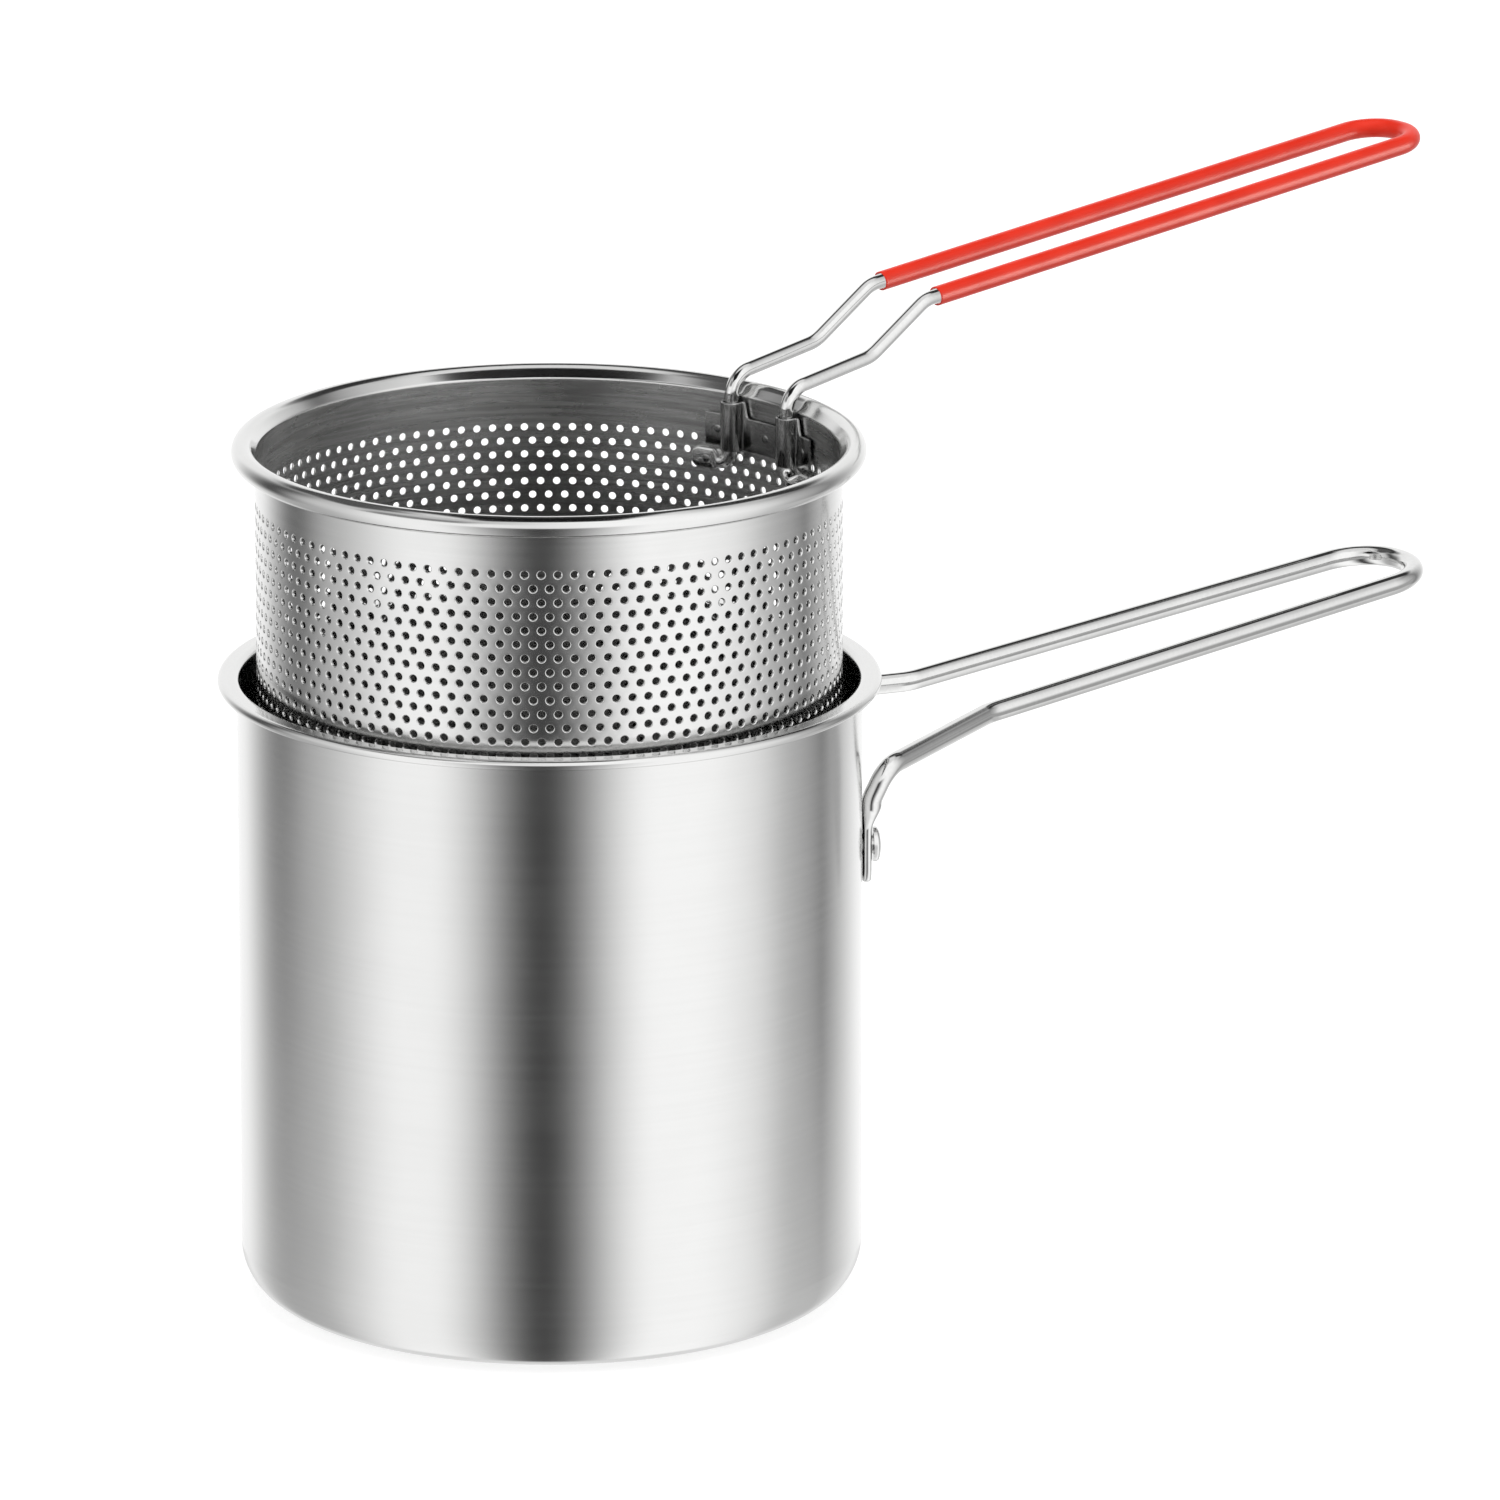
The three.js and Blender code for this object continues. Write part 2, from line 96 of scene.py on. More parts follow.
# Perforations, punched from outside, on a hexagonal grid. Its edge and burr have a radius, a depth and a tilt.
HOLES_ROUND = 112
HOLE_ROWS, ROWS_IN_UPPER = 35, 16
FIRST_ROW_DEPTH = 9.9
HOLE_RING, HOLE_RADIUS = 12, 0.74
HOLE_EDGE, HOLE_BURR = (0.94, 0, 0), (0.76, 0.1, radians(56))
BAND_OVER_ROW, BAND_AT_BASE = 2.6, 3
BASE_HOLES_REACH, BASE_BAND = 48.9, 1.5

# Basket handle: heights are above the middle of the roll and depths below it
BASKET_WIRE, LEG_HALF_SPACING = 2.8, 8.1
FOOT_DEPTH, FOOT_LENGTH, FOOT_THICKNESS, FOOT_HEIGHT, FOOT_BEND, FOOT_PRESS = 13.4, 10, 1.3, 4.4, 2.6, 2.4
OVER_RIM_GAP, OVER_RIM_BEND = 0.45, 5
STEP_STAND_OFF, STEP_HEIGHT, STEP_BEND, STEP_LENGTH = 16.3, 7.4, 8, 14.1
GRIP_START_HEIGHT, GRIP_START_BEND = 16.4, 7
GRIP_LENGTH, GRIP_HALF_WIDTH, GRIP_RISE, GRIP_BEND = 133.5, 7.9, radians(4.9), 7.4
SLEEVE_SET_BACK, SLEEVE_FIT, SLEEVE_WALL = 2.6, 0.2, 0.3

# Bracket, whose depths are below the middle of the roll. Welds have their distances round the wall from a leg.
BRACKET_SHEET, BRACKET_TOP, BRACKET_BOTTOM, FLANGE_TOP, FLANGE_LENGTH = 0.5, 1, 10.8, 4.2, 5.2
BRACKET_FILLET, BRACKET_STEP = 0.55, 0.9
WELD_RADIUS, WELD_HEIGHT, WELD_ROOT, WELD_DROP = 0.85, 0.16, 0.1, 3.2
WELD_ON_FLANGE, WELD_ON_FOOT = 8 / 1.9, 6.2

# Values that follow from those above
SEAT_DISTANCE = ROLL_RADIUS + POT_MOUTH_BEND + TOUCH_GAP
BASKET_RADIUS = POT_RADIUS - POT_WALL - BASKET_CLEARANCE
ROLL_CENTRE = BASKET_RADIUS + NECK_REACH
MOUTH_BEND_CENTRE = POT_RADIUS - POT_WALL + POT_MOUTH_BEND
SEAT_RISE = sqrt(SEAT_DISTANCE**2 - (MOUTH_BEND_CENTRE - ROLL_CENTRE) ** 2)
SEATED_HEIGHT = POT_HEIGHT - POT_MOUTH_BEND + SEAT_RISE
BASKET_DEPTH = SEATED_HEIGHT - POT_WALL - BASKET_FLOOR_GAP
BASKET_HEIGHT = SEATED_HEIGHT + BASKET_LIFT
WALL_MIDDLE = BASKET_RADIUS - BASKET_WALL / 2
PITCH = tau * WALL_MIDDLE / HOLES_ROUND
FACET = cos(pi / CAD_SIDES)
INNER_FACET = (BASKET_RADIUS - BASKET_WALL) * FACET
LEG_REACH = INNER_FACET - TOUCH_GAP - BASKET_WIRE / 2
LEG_X = sqrt(LEG_REACH**2 - LEG_HALF_SPACING**2)
LEG_ANGLE = atan2(LEG_HALF_SPACING, LEG_X)
FOOT_FACE = POT_RADIUS + TOUCH_GAP
FOOT_TIP_HEIGHT = POT_HEIGHT - POT_FOOT_DROP
RIVET_Z = FOOT_TIP_HEIGHT + RIVET_ABOVE_TIP


# ---- outlines


def unit(vectors):
    """Vectors, one or a row of them, at length 1."""
    vectors = np.asarray(vectors, float)
    return vectors / np.maximum(norm(vectors, axis=-1, keepdims=True), TINY)


def round_z(radius, angle, height):
    """Points or directions from their distance from Z, their angle round it from +X, and their height."""
    return np.stack(np.broadcast_arrays(radius * np.cos(angle), radius * np.sin(angle), height), -1)


def towards(angle, lift=0.0):
    """The direction at an angle round Z from +X, lifted by another angle from the level."""
    return round_z(cos(lift), angle, sin(lift))


def to_right(along):
    """Directions in a plane, each turned a quarter to the right."""
    return np.column_stack([along[:, 1], -along[:, 0]])


def eased(share):
    """A share held between 0 and 1, with a soft start and a soft end."""
    share = np.clip(share, 0, 1)
    return share * share * (3 - 2 * share)


def arc(x, y, radius, start, end, step=ARC_STEP):
    """Points on an arc about x, y, both ends included."""
    steps = max(2, ceil(abs(end - start) / step))
    return [(x + radius * cos(a), y + radius * sin(a)) for a in np.linspace(start, end, steps + 1)]


def supported(line):
    """A line with a point near both ends of each long straight run, which keeps the shading true along it."""
    line = [np.array(point, float) for point in line]
    kept = [line[0]]
    for before, after in zip(line, line[1:]):
        run = norm(after - before)
        if run > 6 * SUPPORT:
            step = (after - before) * SUPPORT / run
            kept += [before + step, after - step]
        kept.append(after)
    return np.array(kept)


def tangents_of(line):
    """The direction of a line at each of its points."""
    ahead = unit(np.diff(line, axis=0))
    return unit(np.vstack([ahead[:1], ahead[:-1] + ahead[1:], ahead[-1:]]))


def sheet_outline(line, thickness):
    """The middle line of a sheet as an outline of that thickness, with a flat start and a round end."""
    half = thickness / 2
    line = [np.array(point, float) for point in line]
    while len(line) > 2 and norm(line[-2] - line[-1]) < thickness:
        del line[-2]
    line[-1] = line[-1] + unit(line[-2] - line[-1]) * half
    line = supported(line)
    along = tangents_of(line)
    across = to_right(along)
    angles = np.linspace(0, pi, 9)[1:-1, None]
    edge = line[-1] + half * (across[-1] * np.cos(angles) + along[-1] * np.sin(angles))
    return np.vstack([line + across * half, edge, (line - across * half)[::-1]])


# ---- meshes


class Skin:
    """Points and faces being gathered for one mesh. A face corner may also name a normal of its own."""

    def __init__(self):
        self.points, self.normals, self.turned, self.faces, self.shading = [], [], [], [], []
        self.point_count, self.turned_count = 0, APART

    def add(self, points, normals=None):
        """Adds points, and a normal for each. Returns the index of each, which point and normal share."""
        points = np.asarray(points, float)
        ids = self.point_count + np.arange(points.size // 3).reshape(points.shape[:-1])
        self.points.append(points.reshape(-1, 3))
        self.point_count += ids.size
        if normals is not None:
            self.normals.append(unit(normals).reshape(-1, 3))
        return ids

    def turn(self, normals):
        """Adds normals that belong to no point and returns the index of each."""
        ids = self.turned_count + np.arange(normals.size // 3).reshape(normals.shape[:-1])
        self.turned.append(normals.reshape(-1, 3))
        self.turned_count += ids.size
        return ids

    def fill(self, *corners, normals=None):
        """Adds faces from one array of point ids for each corner. normals holds ids the same way."""
        for rows, ids in ((self.faces, corners), (self.shading, normals or corners)):
            rows.append(np.stack(np.broadcast_arrays(*ids), -1).reshape(-1, len(ids)))

    def bridge(self, low, high, normals=None):
        """Faces between two closed rings of ids. normals is the two rings of normal ids, when they differ."""

        def corners(below, above):
            return below, np.roll(below, -1, -1), np.roll(above, -1, -1), above

        self.fill(*corners(low, high), normals=corners(*normals) if normals else None)

    def mesh(self, name):
        """The mesh, in metres, with its own normals if any were added."""
        mesh = bpy.data.meshes.new(name)
        faces = [face for rows in self.faces for face in rows.tolist()]
        mesh.from_pydata((np.vstack(self.points) * MM).tolist(), [], faces, shade_flat=False)
        if self.normals:
            corners = np.hstack([rows.ravel() for rows in self.shading])
            corners = np.where(corners >= APART, corners - APART + self.point_count, corners)
            mesh.normals_split_custom_set(np.vstack(self.normals + self.turned)[corners].tolist())
        return mesh


def lathe(name, outline, sides, closed=False, places=((np.zeros(3), np.eye(3)),)):
    """Turns an outline of radius and height about an axis. A point on the axis becomes one point.

    places holds, for each copy, its origin and the directions of its X, its Y and its axis.
    """
    angles = np.arange(sides) * tau / sides
    skin = Skin()
    for origin, axes in places:
        rings = []
        for radius, height in outline:
            points = round_z(radius, angles[: 1 if radius < TINY else None], height)
            rings.append(np.broadcast_to(skin.add(origin + points @ axes), sides))
        for low, high in zip(rings, rings[1:] + rings[:1] if closed else rings[1:]):
            if low[0] == low[1]:
                skin.fill(low, np.roll(high, -1), high)
            elif high[0] == high[1]:
                skin.fill(low, np.roll(low, -1), high)
            else:
                skin.bridge(low, high)
    return skin.mesh(name)


def rings_along(stations, radius, first_side):
    """A round section at each station, carried along without twist."""
    angles = np.arange(WIRE_SIDES) * tau / WIRE_SIDES
    side, rings = first_side, []
    for centre, tangent in zip(stations, tangents_of(stations)):
        side = unit(side - tangent * (side @ tangent))
        up = np.cross(tangent, side)
        rings.append(centre + radius * (np.outer(np.cos(angles), side) + np.outer(np.sin(angles), up)))
    return np.array(rings)


def tube_mesh(name, rings, closed=False):
    """A mesh over a row of rings, with its ends closed, or with the last ring joined to the first."""
    skin = Skin()
    ids = skin.add(rings)
    skin.bridge(ids[:-1], ids[1:])
    if closed:
        skin.bridge(ids[-1], ids[0])
    else:
        start, end = skin.add(rings[[0, -1]].mean(1))
        skin.fill(start, np.roll(ids[0], -1), ids[0])
        skin.fill(end, ids[-1], np.roll(ids[-1], -1))
    return skin.mesh(name)


def stations_through(corners):
    """Stations along straight runs between corners of (place, bend radius), each corner rounded to its bend."""
    places, bends = zip(*corners)
    places = np.array(places, float)
    stations = [places[0]]
    for before, at, after, bend in zip(places, places[1:], places[2:], bends[1:]):
        back, on = unit(before - at), unit(after - at)
        turn = pi - acos(np.clip(back @ on, -1, 1))
        run = bend * tan(turn / 2)
        centre = at + unit(back + on) * hypot(bend, run)
        start, end = at + back * run - centre, at + on * run - centre
        steps = max(3, ceil(turn / BEND_STEP))
        for share in np.linspace(0, 1, steps + 1):
            near, far = sin((1 - share) * turn), sin(share * turn)
            stations.append(centre + (start * near + end * far) / sin(turn))
    return np.array([*stations, places[-1]])


def with_foot(stations, width, press):
    """Adds stations to the first straight run of a route, where its end gets pressed flat."""
    tip, bend_start = stations[:2]
    straight = norm(bend_start - tip)
    round_runs = width / 2 * (1 - np.cos(np.linspace(0, pi / 2, FOOT_STEPS)))
    press_runs = straight - press * np.linspace(1, 0, FOOT_STEPS)
    runs = np.concatenate([round_runs, press_runs])
    runs = np.unique(np.round(runs[runs < straight - TINY], 4))
    return np.vstack([tip + np.outer(runs / straight, bend_start - tip), stations[1:]])


def press_foot(points, end, out, wire, width, thickness, press):
    """Presses one end of a wire flat, where out points away from the face that the foot lies on."""
    tip, bend_start = end
    straight = norm(bend_start - tip)
    along = (bend_start - tip) / straight
    across = np.cross(out, along)
    run, side, height = ((points - tip) @ axis for axis in (along, across, out))
    on_end = (np.abs(side) < wire) & (np.abs(height) < wire) & (run < straight + TINY) & (run > -TOUCH_GAP)
    pressed = eased((straight - run) / press)
    angle = np.arctan2(height, side)
    square = 2 / (2 + FOOT_SQUARENESS * pressed)
    wide = np.sign(side) * np.abs(np.cos(angle)) ** square
    tall = np.sign(height) * np.abs(np.sin(angle)) ** square

    def opened(size, least):
        return np.sqrt(np.clip(1 - (1 - np.clip(2 * run / size, 0, 1)) ** 2, least, 1))

    new_side = wide * width / 2 * opened(width, TIP_LEAST_WIDE)
    new_height = tall * thickness / 2 * opened(thickness, TIP_LEAST_TALL) + thickness / 2 - wire / 2
    shift = np.where(on_end, pressed, 0.0)
    return points + (shift * (new_side - side))[..., None] * across + (shift * (new_height - height))[..., None] * out


def footed_wire(name, corners, wire, first_side, foot, outs):
    """One wire through corners, whose ends are pressed flat.

    foot holds the width and thickness of the feet and the length of the press, and outs where the feet face.
    """
    width, _, press = foot
    route = stations_through(corners)
    ends = (route[0], route[1]), (route[-1], route[-2])
    stations = np.vstack([route[0], supported(route)[2:-2], route[-1]])
    for _ in ends:
        stations = with_foot(stations, width, press)[::-1]
    points = rings_along(stations, wire / 2, first_side)
    for end, out in zip(ends, outs):
        points = press_foot(points, end, out, wire, *foot)
    return tube_mesh(name, points)


# ---- materials

CLOUD_SCALE, SATIN_STREAKS = 60.0, (1400.0, 3.0)
VINYL_REDS = ((0.74, 0.022, 0.006, 1), (0.83, 0.03, 0.01, 1))


def new_material(name):
    """A material with its node tree and its shader."""
    material = bpy.data.materials.new(name)
    material.use_nodes = True
    tree = material.node_tree
    return material, tree, tree.nodes["Principled BSDF"]


def feed(tree, node, inputs):
    """Sets or links a node's inputs, each by its number or its name."""
    for key, value in inputs.items():
        if isinstance(value, bpy.types.NodeSocket):
            tree.links.new(value, node.inputs[key])
        else:
            node.inputs[key].default_value = value


def add(tree, kind, inputs=None, **settings):
    """Adds a node with its settings and its inputs."""
    node = tree.nodes.new("ShaderNode" + kind)
    for key, value in settings.items():
        setattr(node, key, value)
    feed(tree, node, inputs or {})
    return node


def here(tree):
    """The place in the object's own coordinates."""
    return add(tree, "TexCoord").outputs["Object"]


def maths(tree, operation, *values):
    return add(tree, "Math", dict(enumerate(values)), operation=operation).outputs[0]


def between(tree, value, low, high, to_low=0.0, to_high=1.0):
    """A value mapped smoothly from one range to another."""
    inputs = {"Value": value, "From Min": low, "From Max": high, "To Min": to_low, "To Max": to_high}
    return add(tree, "MapRange", inputs, interpolation_type="SMOOTHSTEP").outputs[0]


def noise(tree, vector, scale, detail=3.0):
    return add(tree, "TexNoise", {"Vector": vector, "Scale": scale, "Detail": detail}).outputs[0]


def bump(tree, strength, distance, height):
    return add(tree, "Bump", {"Strength": strength, "Distance": distance, "Height": height}).outputs[0]


def mixed(tree, share, first, second):
    """Two colours, plain or linked, mixed by a share."""
    first, second = (c if isinstance(c, bpy.types.NodeSocket) else (*c, 1) for c in (first, second))
    return add(tree, "Mix", {0: share, 6: first, 7: second}, data_type="RGBA").outputs[2]


def vectors(tree, operation, *values):
    """The result of a vector operation, a number for a length or a dot product."""
    node = add(tree, "VectorMath", dict(enumerate(values)), operation=operation)
    return node.outputs["Value" if operation in ("LENGTH", "DOT_PRODUCT") else "Vector"]


def level_part(tree, vector, sign=1):
    """The level direction of a vector, or with sign -1 the opposite one."""
    return vectors(tree, "NORMALIZE", vectors(tree, "MULTIPLY", vector, (sign, sign, 0)))


def glow(tree, strength, kind="Emission"):
    """White light."""
    return add(tree, kind, {"Color": (1, 1, 1, 1), "Strength": strength}).outputs[0]


def turned_grain(tree, fineness, breaks=1.0):
    """Coordinates whose noise runs in rings round Z, as the marks of spinning and polishing do."""
    x, y, z = add(tree, "SeparateXYZ", {0: here(tree)}).outputs
    reach = vectors(tree, "LENGTH", vectors(tree, "MULTIPLY", here(tree), (1, 1, 0)))
    across, up = (maths(tree, "MULTIPLY", way, fineness) for way in (reach, z))
    along = maths(tree, "MULTIPLY", maths(tree, "ARCTAN2", y, x), breaks)
    return add(tree, "CombineXYZ", {0: across, 1: along, 2: up}).outputs[0]


def inward_share(tree):
    """How far a surface faces the Z axis, from 0 on the outside of a vessel to 1 on its inside."""
    where = add(tree, "TexCoord").outputs
    facing = vectors(tree, "DOT_PRODUCT", level_part(tree, where["Object"], -1), where["Normal"])
    return between(tree, facing, 0.86, 0.98)


def steel(name, dark, light, roughness, grain, fineness=900.0, turned=False, satin=None):
    """Polished sheet or wire: faint clouds in its colour and its gloss, and fine marks in a bump.

    satin is the roughness and both colours of a vessel's inside, which is rougher and darker than its outside.
    """
    material, tree, shader = new_material(name)
    place = here(tree)
    clouds = noise(tree, place, CLOUD_SCALE, 4.0)
    fine = noise(tree, turned_grain(tree, fineness), 1.0, 2.0) if turned else noise(tree, place, fineness, 2.0)
    both = maths(tree, "MULTIPLY_ADD", fine, 0.4, maths(tree, "MULTIPLY", clouds, 0.6))
    colour = mixed(tree, between(tree, both, 0.35, 0.65), dark, light)
    gloss = between(tree, both, 0.3, 0.7, roughness * 0.85, roughness * 1.2)
    if satin:
        inside, (dull, low, high) = inward_share(tree), satin
        streaks = noise(tree, turned_grain(tree, *SATIN_STREAKS), 1.0, 4.0)
        colour = mixed(tree, inside, colour, mixed(tree, between(tree, streaks, 0.35, 0.65), low, high))
        dull = between(tree, both, 0.3, 0.7, dull * 0.8, dull * 1.2)
        gloss = maths(tree, "MULTIPLY_ADD", inside, maths(tree, "SUBTRACT", dull, gloss), gloss)
    marks = bump(tree, grain, 0.0002, fine)
    feed(tree, shader, {"Base Color": colour, "Roughness": gloss, "Metallic": 1, "Normal": marks})
    return material


def soft_vinyl(name):
    """Dipped vinyl: a deep even colour, slightly uneven gloss and a faint waviness."""
    material, tree, shader = new_material(name)
    place = here(tree)
    clouds = noise(tree, place, 90.0)
    ramp = add(tree, "ValToRGB", {0: clouds})
    for element, position, colour in zip(ramp.color_ramp.elements, (0.3, 0.7), VINYL_REDS):
        element.position, element.color = position, colour
    feed(tree, shader, {
        "Base Color": ramp.outputs[0],
        "Roughness": between(tree, clouds, 0.3, 0.7, 0.3, 0.4),
        "Normal": bump(tree, 0.04, 0.0003, noise(tree, place, 420.0, 2.0)),
        "Specular IOR Level": 0.4,
        "Specular Tint": (1, 0.86, 0.76, 1),
    })
    return material


POT_STEEL = steel("drawn_steel", (0.69, 0.69, 0.685), (0.71, 0.71, 0.705), 0.14, 0.0035, turned=True)
BASKET_STEEL = steel(
    "perforated_steel", (0.67, 0.67, 0.665), (0.71, 0.71, 0.705), 0.13, 0.02, turned=True,
    satin=(0.26, (0.5, 0.5, 0.495), (0.68, 0.68, 0.675)),
)
WIRE_STEEL = steel("polished_wire", (0.68, 0.68, 0.675), (0.74, 0.74, 0.735), 0.07, 0.015, 1500.0)
RIVET_STEEL = steel("rivet_steel", (0.66, 0.66, 0.655), (0.73, 0.73, 0.725), 0.16, 0.05, 1800.0)
# The bracket's steel, which its spot weld marks share, is darker than the rest: painted shade of the recess inside
# the basket where it stands.
BRACKET_STEEL_SHADE_PAINTED = steel("pressed_strip_steel_shade_painted", (0.34, 0.34, 0.337), (0.46, 0.46, 0.456), 0.11, 0.03, 1400.0)
RIM_WIRE_STEEL = steel("dull_wire", (0.3, 0.3, 0.3), (0.4, 0.4, 0.4), 0.4, 0.1, 1200.0)
VINYL = soft_vinyl("orange_red_vinyl")


# ---- pieces

IN_BASKET = Matrix.Translation((0, 0, BASKET_HEIGHT * MM)) @ Matrix.Rotation(BASKET_TURN, 4, "Z")


def put(name, data):
    """Adds an object to the scene."""
    thing = bpy.data.objects.new(name, data)
    bpy.context.scene.collection.objects.link(thing)
    return thing


def make(mesh, material, body, nodes=(), place=Matrix(), sharp=False):
    """Makes a piece of a mesh, with its place in the mesh. It rides on its body for its nodes."""
    mesh.transform(place)
    if sharp:
        mesh.set_sharp_from_angle(angle=SHARP_EDGE)
    piece = put(mesh.name, mesh)
    mesh.materials.append(material)
    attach(piece, body)
    if nodes:
        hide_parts(*nodes)
    return piece


def leg_direction(side):
    return towards(side * POT_LEG_ANGLE)


def along_rivet(side):
    """Where a rivet lies, as an origin and the directions of its X, its Y and its axis."""
    turn = Vector((0, 0, 1)).rotation_difference(Vector(leg_direction(side)))
    return RIVET_Z * UP, np.array(turn.to_matrix()).T


def drill(mesh):
    """Cuts both rivet holes through a mesh."""
    hole = RIVET_SHANK_RADIUS + TOUCH_GAP
    inner, outer = POT_RADIUS - 2, FOOT_FACE + POT_FOOT_THICKNESS + 1
    outline = [(0, inner), (hole, inner), (hole, outer), (0, outer)]
    drills = lathe("drills", outline, RIVET_SIDES, places=[along_rivet(side) for side in (-1, 1)])
    things = holder, cutter = put("being_drilled", mesh), put("drills", drills)
    cut = holder.modifiers.new("holes", "BOOLEAN")
    cut.object, cut.operation, cut.solver = cutter, "DIFFERENCE", "EXACT"
    drilled = bpy.data.meshes.new_from_object(holder.evaluated_get(bpy.context.evaluated_depsgraph_get()))
    drilled.name = mesh.name + "_drilled"
    for thing in things:
        bpy.data.objects.remove(thing)
    return drilled


def pot_shell():
    """One drawn sheet: a flat base, a round corner, a straight wall and an outward hem."""
    half = POT_WALL / 2
    middle, corner, bend = POT_RADIUS - half, POT_CORNER - half, POT_MOUTH_BEND - half
    rim_top, hem = POT_HEIGHT - half, (POT_RIM_THICKNESS - POT_WALL) / 2
    hem_centre = POT_RADIUS + POT_RIM_REACH - half - hem
    line = [
        (0, half),
        *arc(middle - corner, half + corner, corner, -pi / 2, 0, ARC_STEP / 2),
        (middle, RIVET_Z - ROUND_RIVET),
        (middle, RIVET_Z + ROUND_RIVET),
        *arc(middle + bend, rim_top - bend, bend, pi, pi / 2),
        *arc(hem_centre, rim_top - hem, hem, pi / 2, -pi / 2),
        (hem_centre - POT_HEM_RETURN, rim_top - 2 * hem),
    ]
    mesh = drill(lathe("pot_shell_sheet", sheet_outline(line, POT_WALL), POT_SIDES))
    make(mesh, POT_STEEL, "pot", ["pot_shell"], sharp=True)


def pot_handle_corners(side):
    """One side of the pot's handle, from its foot to the far corner of its grip."""
    leg = leg_direction(side) * (FOOT_FACE + POT_WIRE / 2)
    elbow = leg_direction(side) * (POT_RADIUS + POT_ELBOW_STAND_OFF)
    kink = POT_RADIUS + POT_KINK_STAND_OFF
    kink_height = POT_HEIGHT - POT_KINK_DROP
    end_height = kink_height + POT_GRIP_LENGTH * tan(POT_GRIP_RISE)
    return [
        (leg + UP * FOOT_TIP_HEIGHT, 0),
        (leg + UP * (POT_HEIGHT - POT_LEG_DROP), POT_LEG_BEND),
        (elbow + UP * (POT_HEIGHT - POT_ELBOW_DROP), POT_LEG_BEND),
        ((kink, side * POT_KINK_HALF_WIDTH, kink_height), POT_KINK_BEND),
        ((kink + POT_GRIP_LENGTH, side * POT_GRIP_HALF_WIDTH, end_height), POT_GRIP_BEND),
    ]


def pot_handle():
    """One wire, with both of its ends pressed flat and riveted to the pot's wall."""
    corners = pot_handle_corners(-1) + pot_handle_corners(1)[::-1]
    foot = (POT_FOOT_WIDTH, POT_FOOT_THICKNESS, POT_PRESS)
    outs = leg_direction(-1), leg_direction(1)
    mesh = drill(footed_wire("pot_handle_loop", corners, POT_WIRE, outs[0], foot, outs))
    make(mesh, WIRE_STEEL, "pot", ["pot_handle_wire"], sharp=True)


def rivets():
    """A low crowned head on each foot, a shank through the wall and a flat tail inside the pot."""
    seat = FOOT_FACE + POT_FOOT_THICKNESS + TOUCH_GAP
    top = seat + RIVET_HEAD_HEIGHT
    shoulder = top - RIVET_CROWN
    tail_seat = sqrt((POT_RADIUS - POT_WALL) ** 2 - RIVET_TAIL_RADIUS**2) * FACET - TOUCH_GAP
    tail_end = tail_seat - RIVET_TAIL_HEIGHT
    tail_round = RIVET_TAIL_HEIGHT / 3
    reach = RIVET_HEAD_RADIUS - RIVET_HEAD_ROUND
    crown = [(reach * cos(a), shoulder + RIVET_CROWN * sin(a)) for a in np.linspace(0, pi / 2, 9)]
    outline = supported([
        (0, tail_end),
        *arc(RIVET_TAIL_RADIUS - tail_round, tail_end + tail_round, tail_round, -pi / 2, 0),
        (RIVET_TAIL_RADIUS, tail_seat),
        (RIVET_SHANK_RADIUS, tail_seat),
        (RIVET_SHANK_RADIUS, seat),
        (RIVET_HEAD_RADIUS, seat),
        *arc(reach, shoulder - RIVET_HEAD_ROUND, RIVET_HEAD_ROUND, 0, pi / 2),
        *crown[1:-1],
        (0, top),
    ])
    for name, side in (("right", -1), ("left", 1)):
        mesh = lathe(f"rivet_{name}_turned", outline, RIVET_SIDES, places=[along_rivet(side)])
        make(mesh, RIVET_STEEL, "pot", [f"pot_rivet_{name}"], sharp=True)


# ---- perforated sheet


class WallPlace:
    """The basket's wall as a flat map: distance round it and height, with depth going inwards."""

    def point(self, flat, depth):
        return round_z(BASKET_RADIUS - depth, flat[..., 0] / WALL_MIDDLE, flat[..., 1])

    def sides(self, flat):
        out = round_z(1, flat[..., 0] / WALL_MIDDLE, 0)
        return out, np.cross(UP, out), np.broadcast_to(UP, out.shape)


class BasePlace:
    """The basket's base as a flat map seen from below, with depth going upwards."""

    def point(self, flat, depth):
        return np.insert(flat * (1, -1), 2, depth - BASKET_DEPTH, -1)

    def sides(self, flat):
        shape = flat.shape[:-1] + (3,)
        return tuple(np.broadcast_to(side, shape) for side in (-UP, (1.0, 0, 0), (0, -1.0, 0)))


def spokes(count):
    """Directions all round on a flat map, from straight down."""
    angles = np.arange(count) * tau / count - pi / 2
    return np.stack([np.cos(angles), np.sin(angles)], -1)


def perforate(skin, place, centres, outer, inner):
    """Fills hexagonal cells with punched holes. outer and inner hold the six corners of each cell, on both faces."""
    spoke = spokes(HOLE_RING)
    out, east, north = place.sides(np.repeat(centres[:, None], HOLE_RING, 1))
    inwards = -(spoke[:, :1] * east + spoke[:, 1:] * north)

    def ring(radius, depth, tilt):
        normals = out * cos(tilt) + inwards * sin(tilt)
        return skin.add(place.point(centres[:, None] + radius * spoke, depth), normals)

    def web(corner, ids, normals, order):
        after = np.roll(corner, -1, 1)

        def triangles(ids):
            start, middle, end = ids[:, ::2], ids[:, 1::2], np.roll(ids[:, ::2], -1, 1)
            return (corner, after, middle), (corner, middle, start), (after, end, middle)

        for face, shading in zip(triangles(ids), triangles(normals)):
            skin.fill(*face[::order], normals=shading[::order])

    first, second, through = ring(*HOLE_EDGE), ring(*HOLE_BURR), ring(HOLE_RADIUS, BASKET_WALL, pi / 2)
    web(outer, first, first, 1)
    skin.bridge(first, second)
    skin.bridge(second, through)
    web(inner, through, skin.turn(-out), -1)


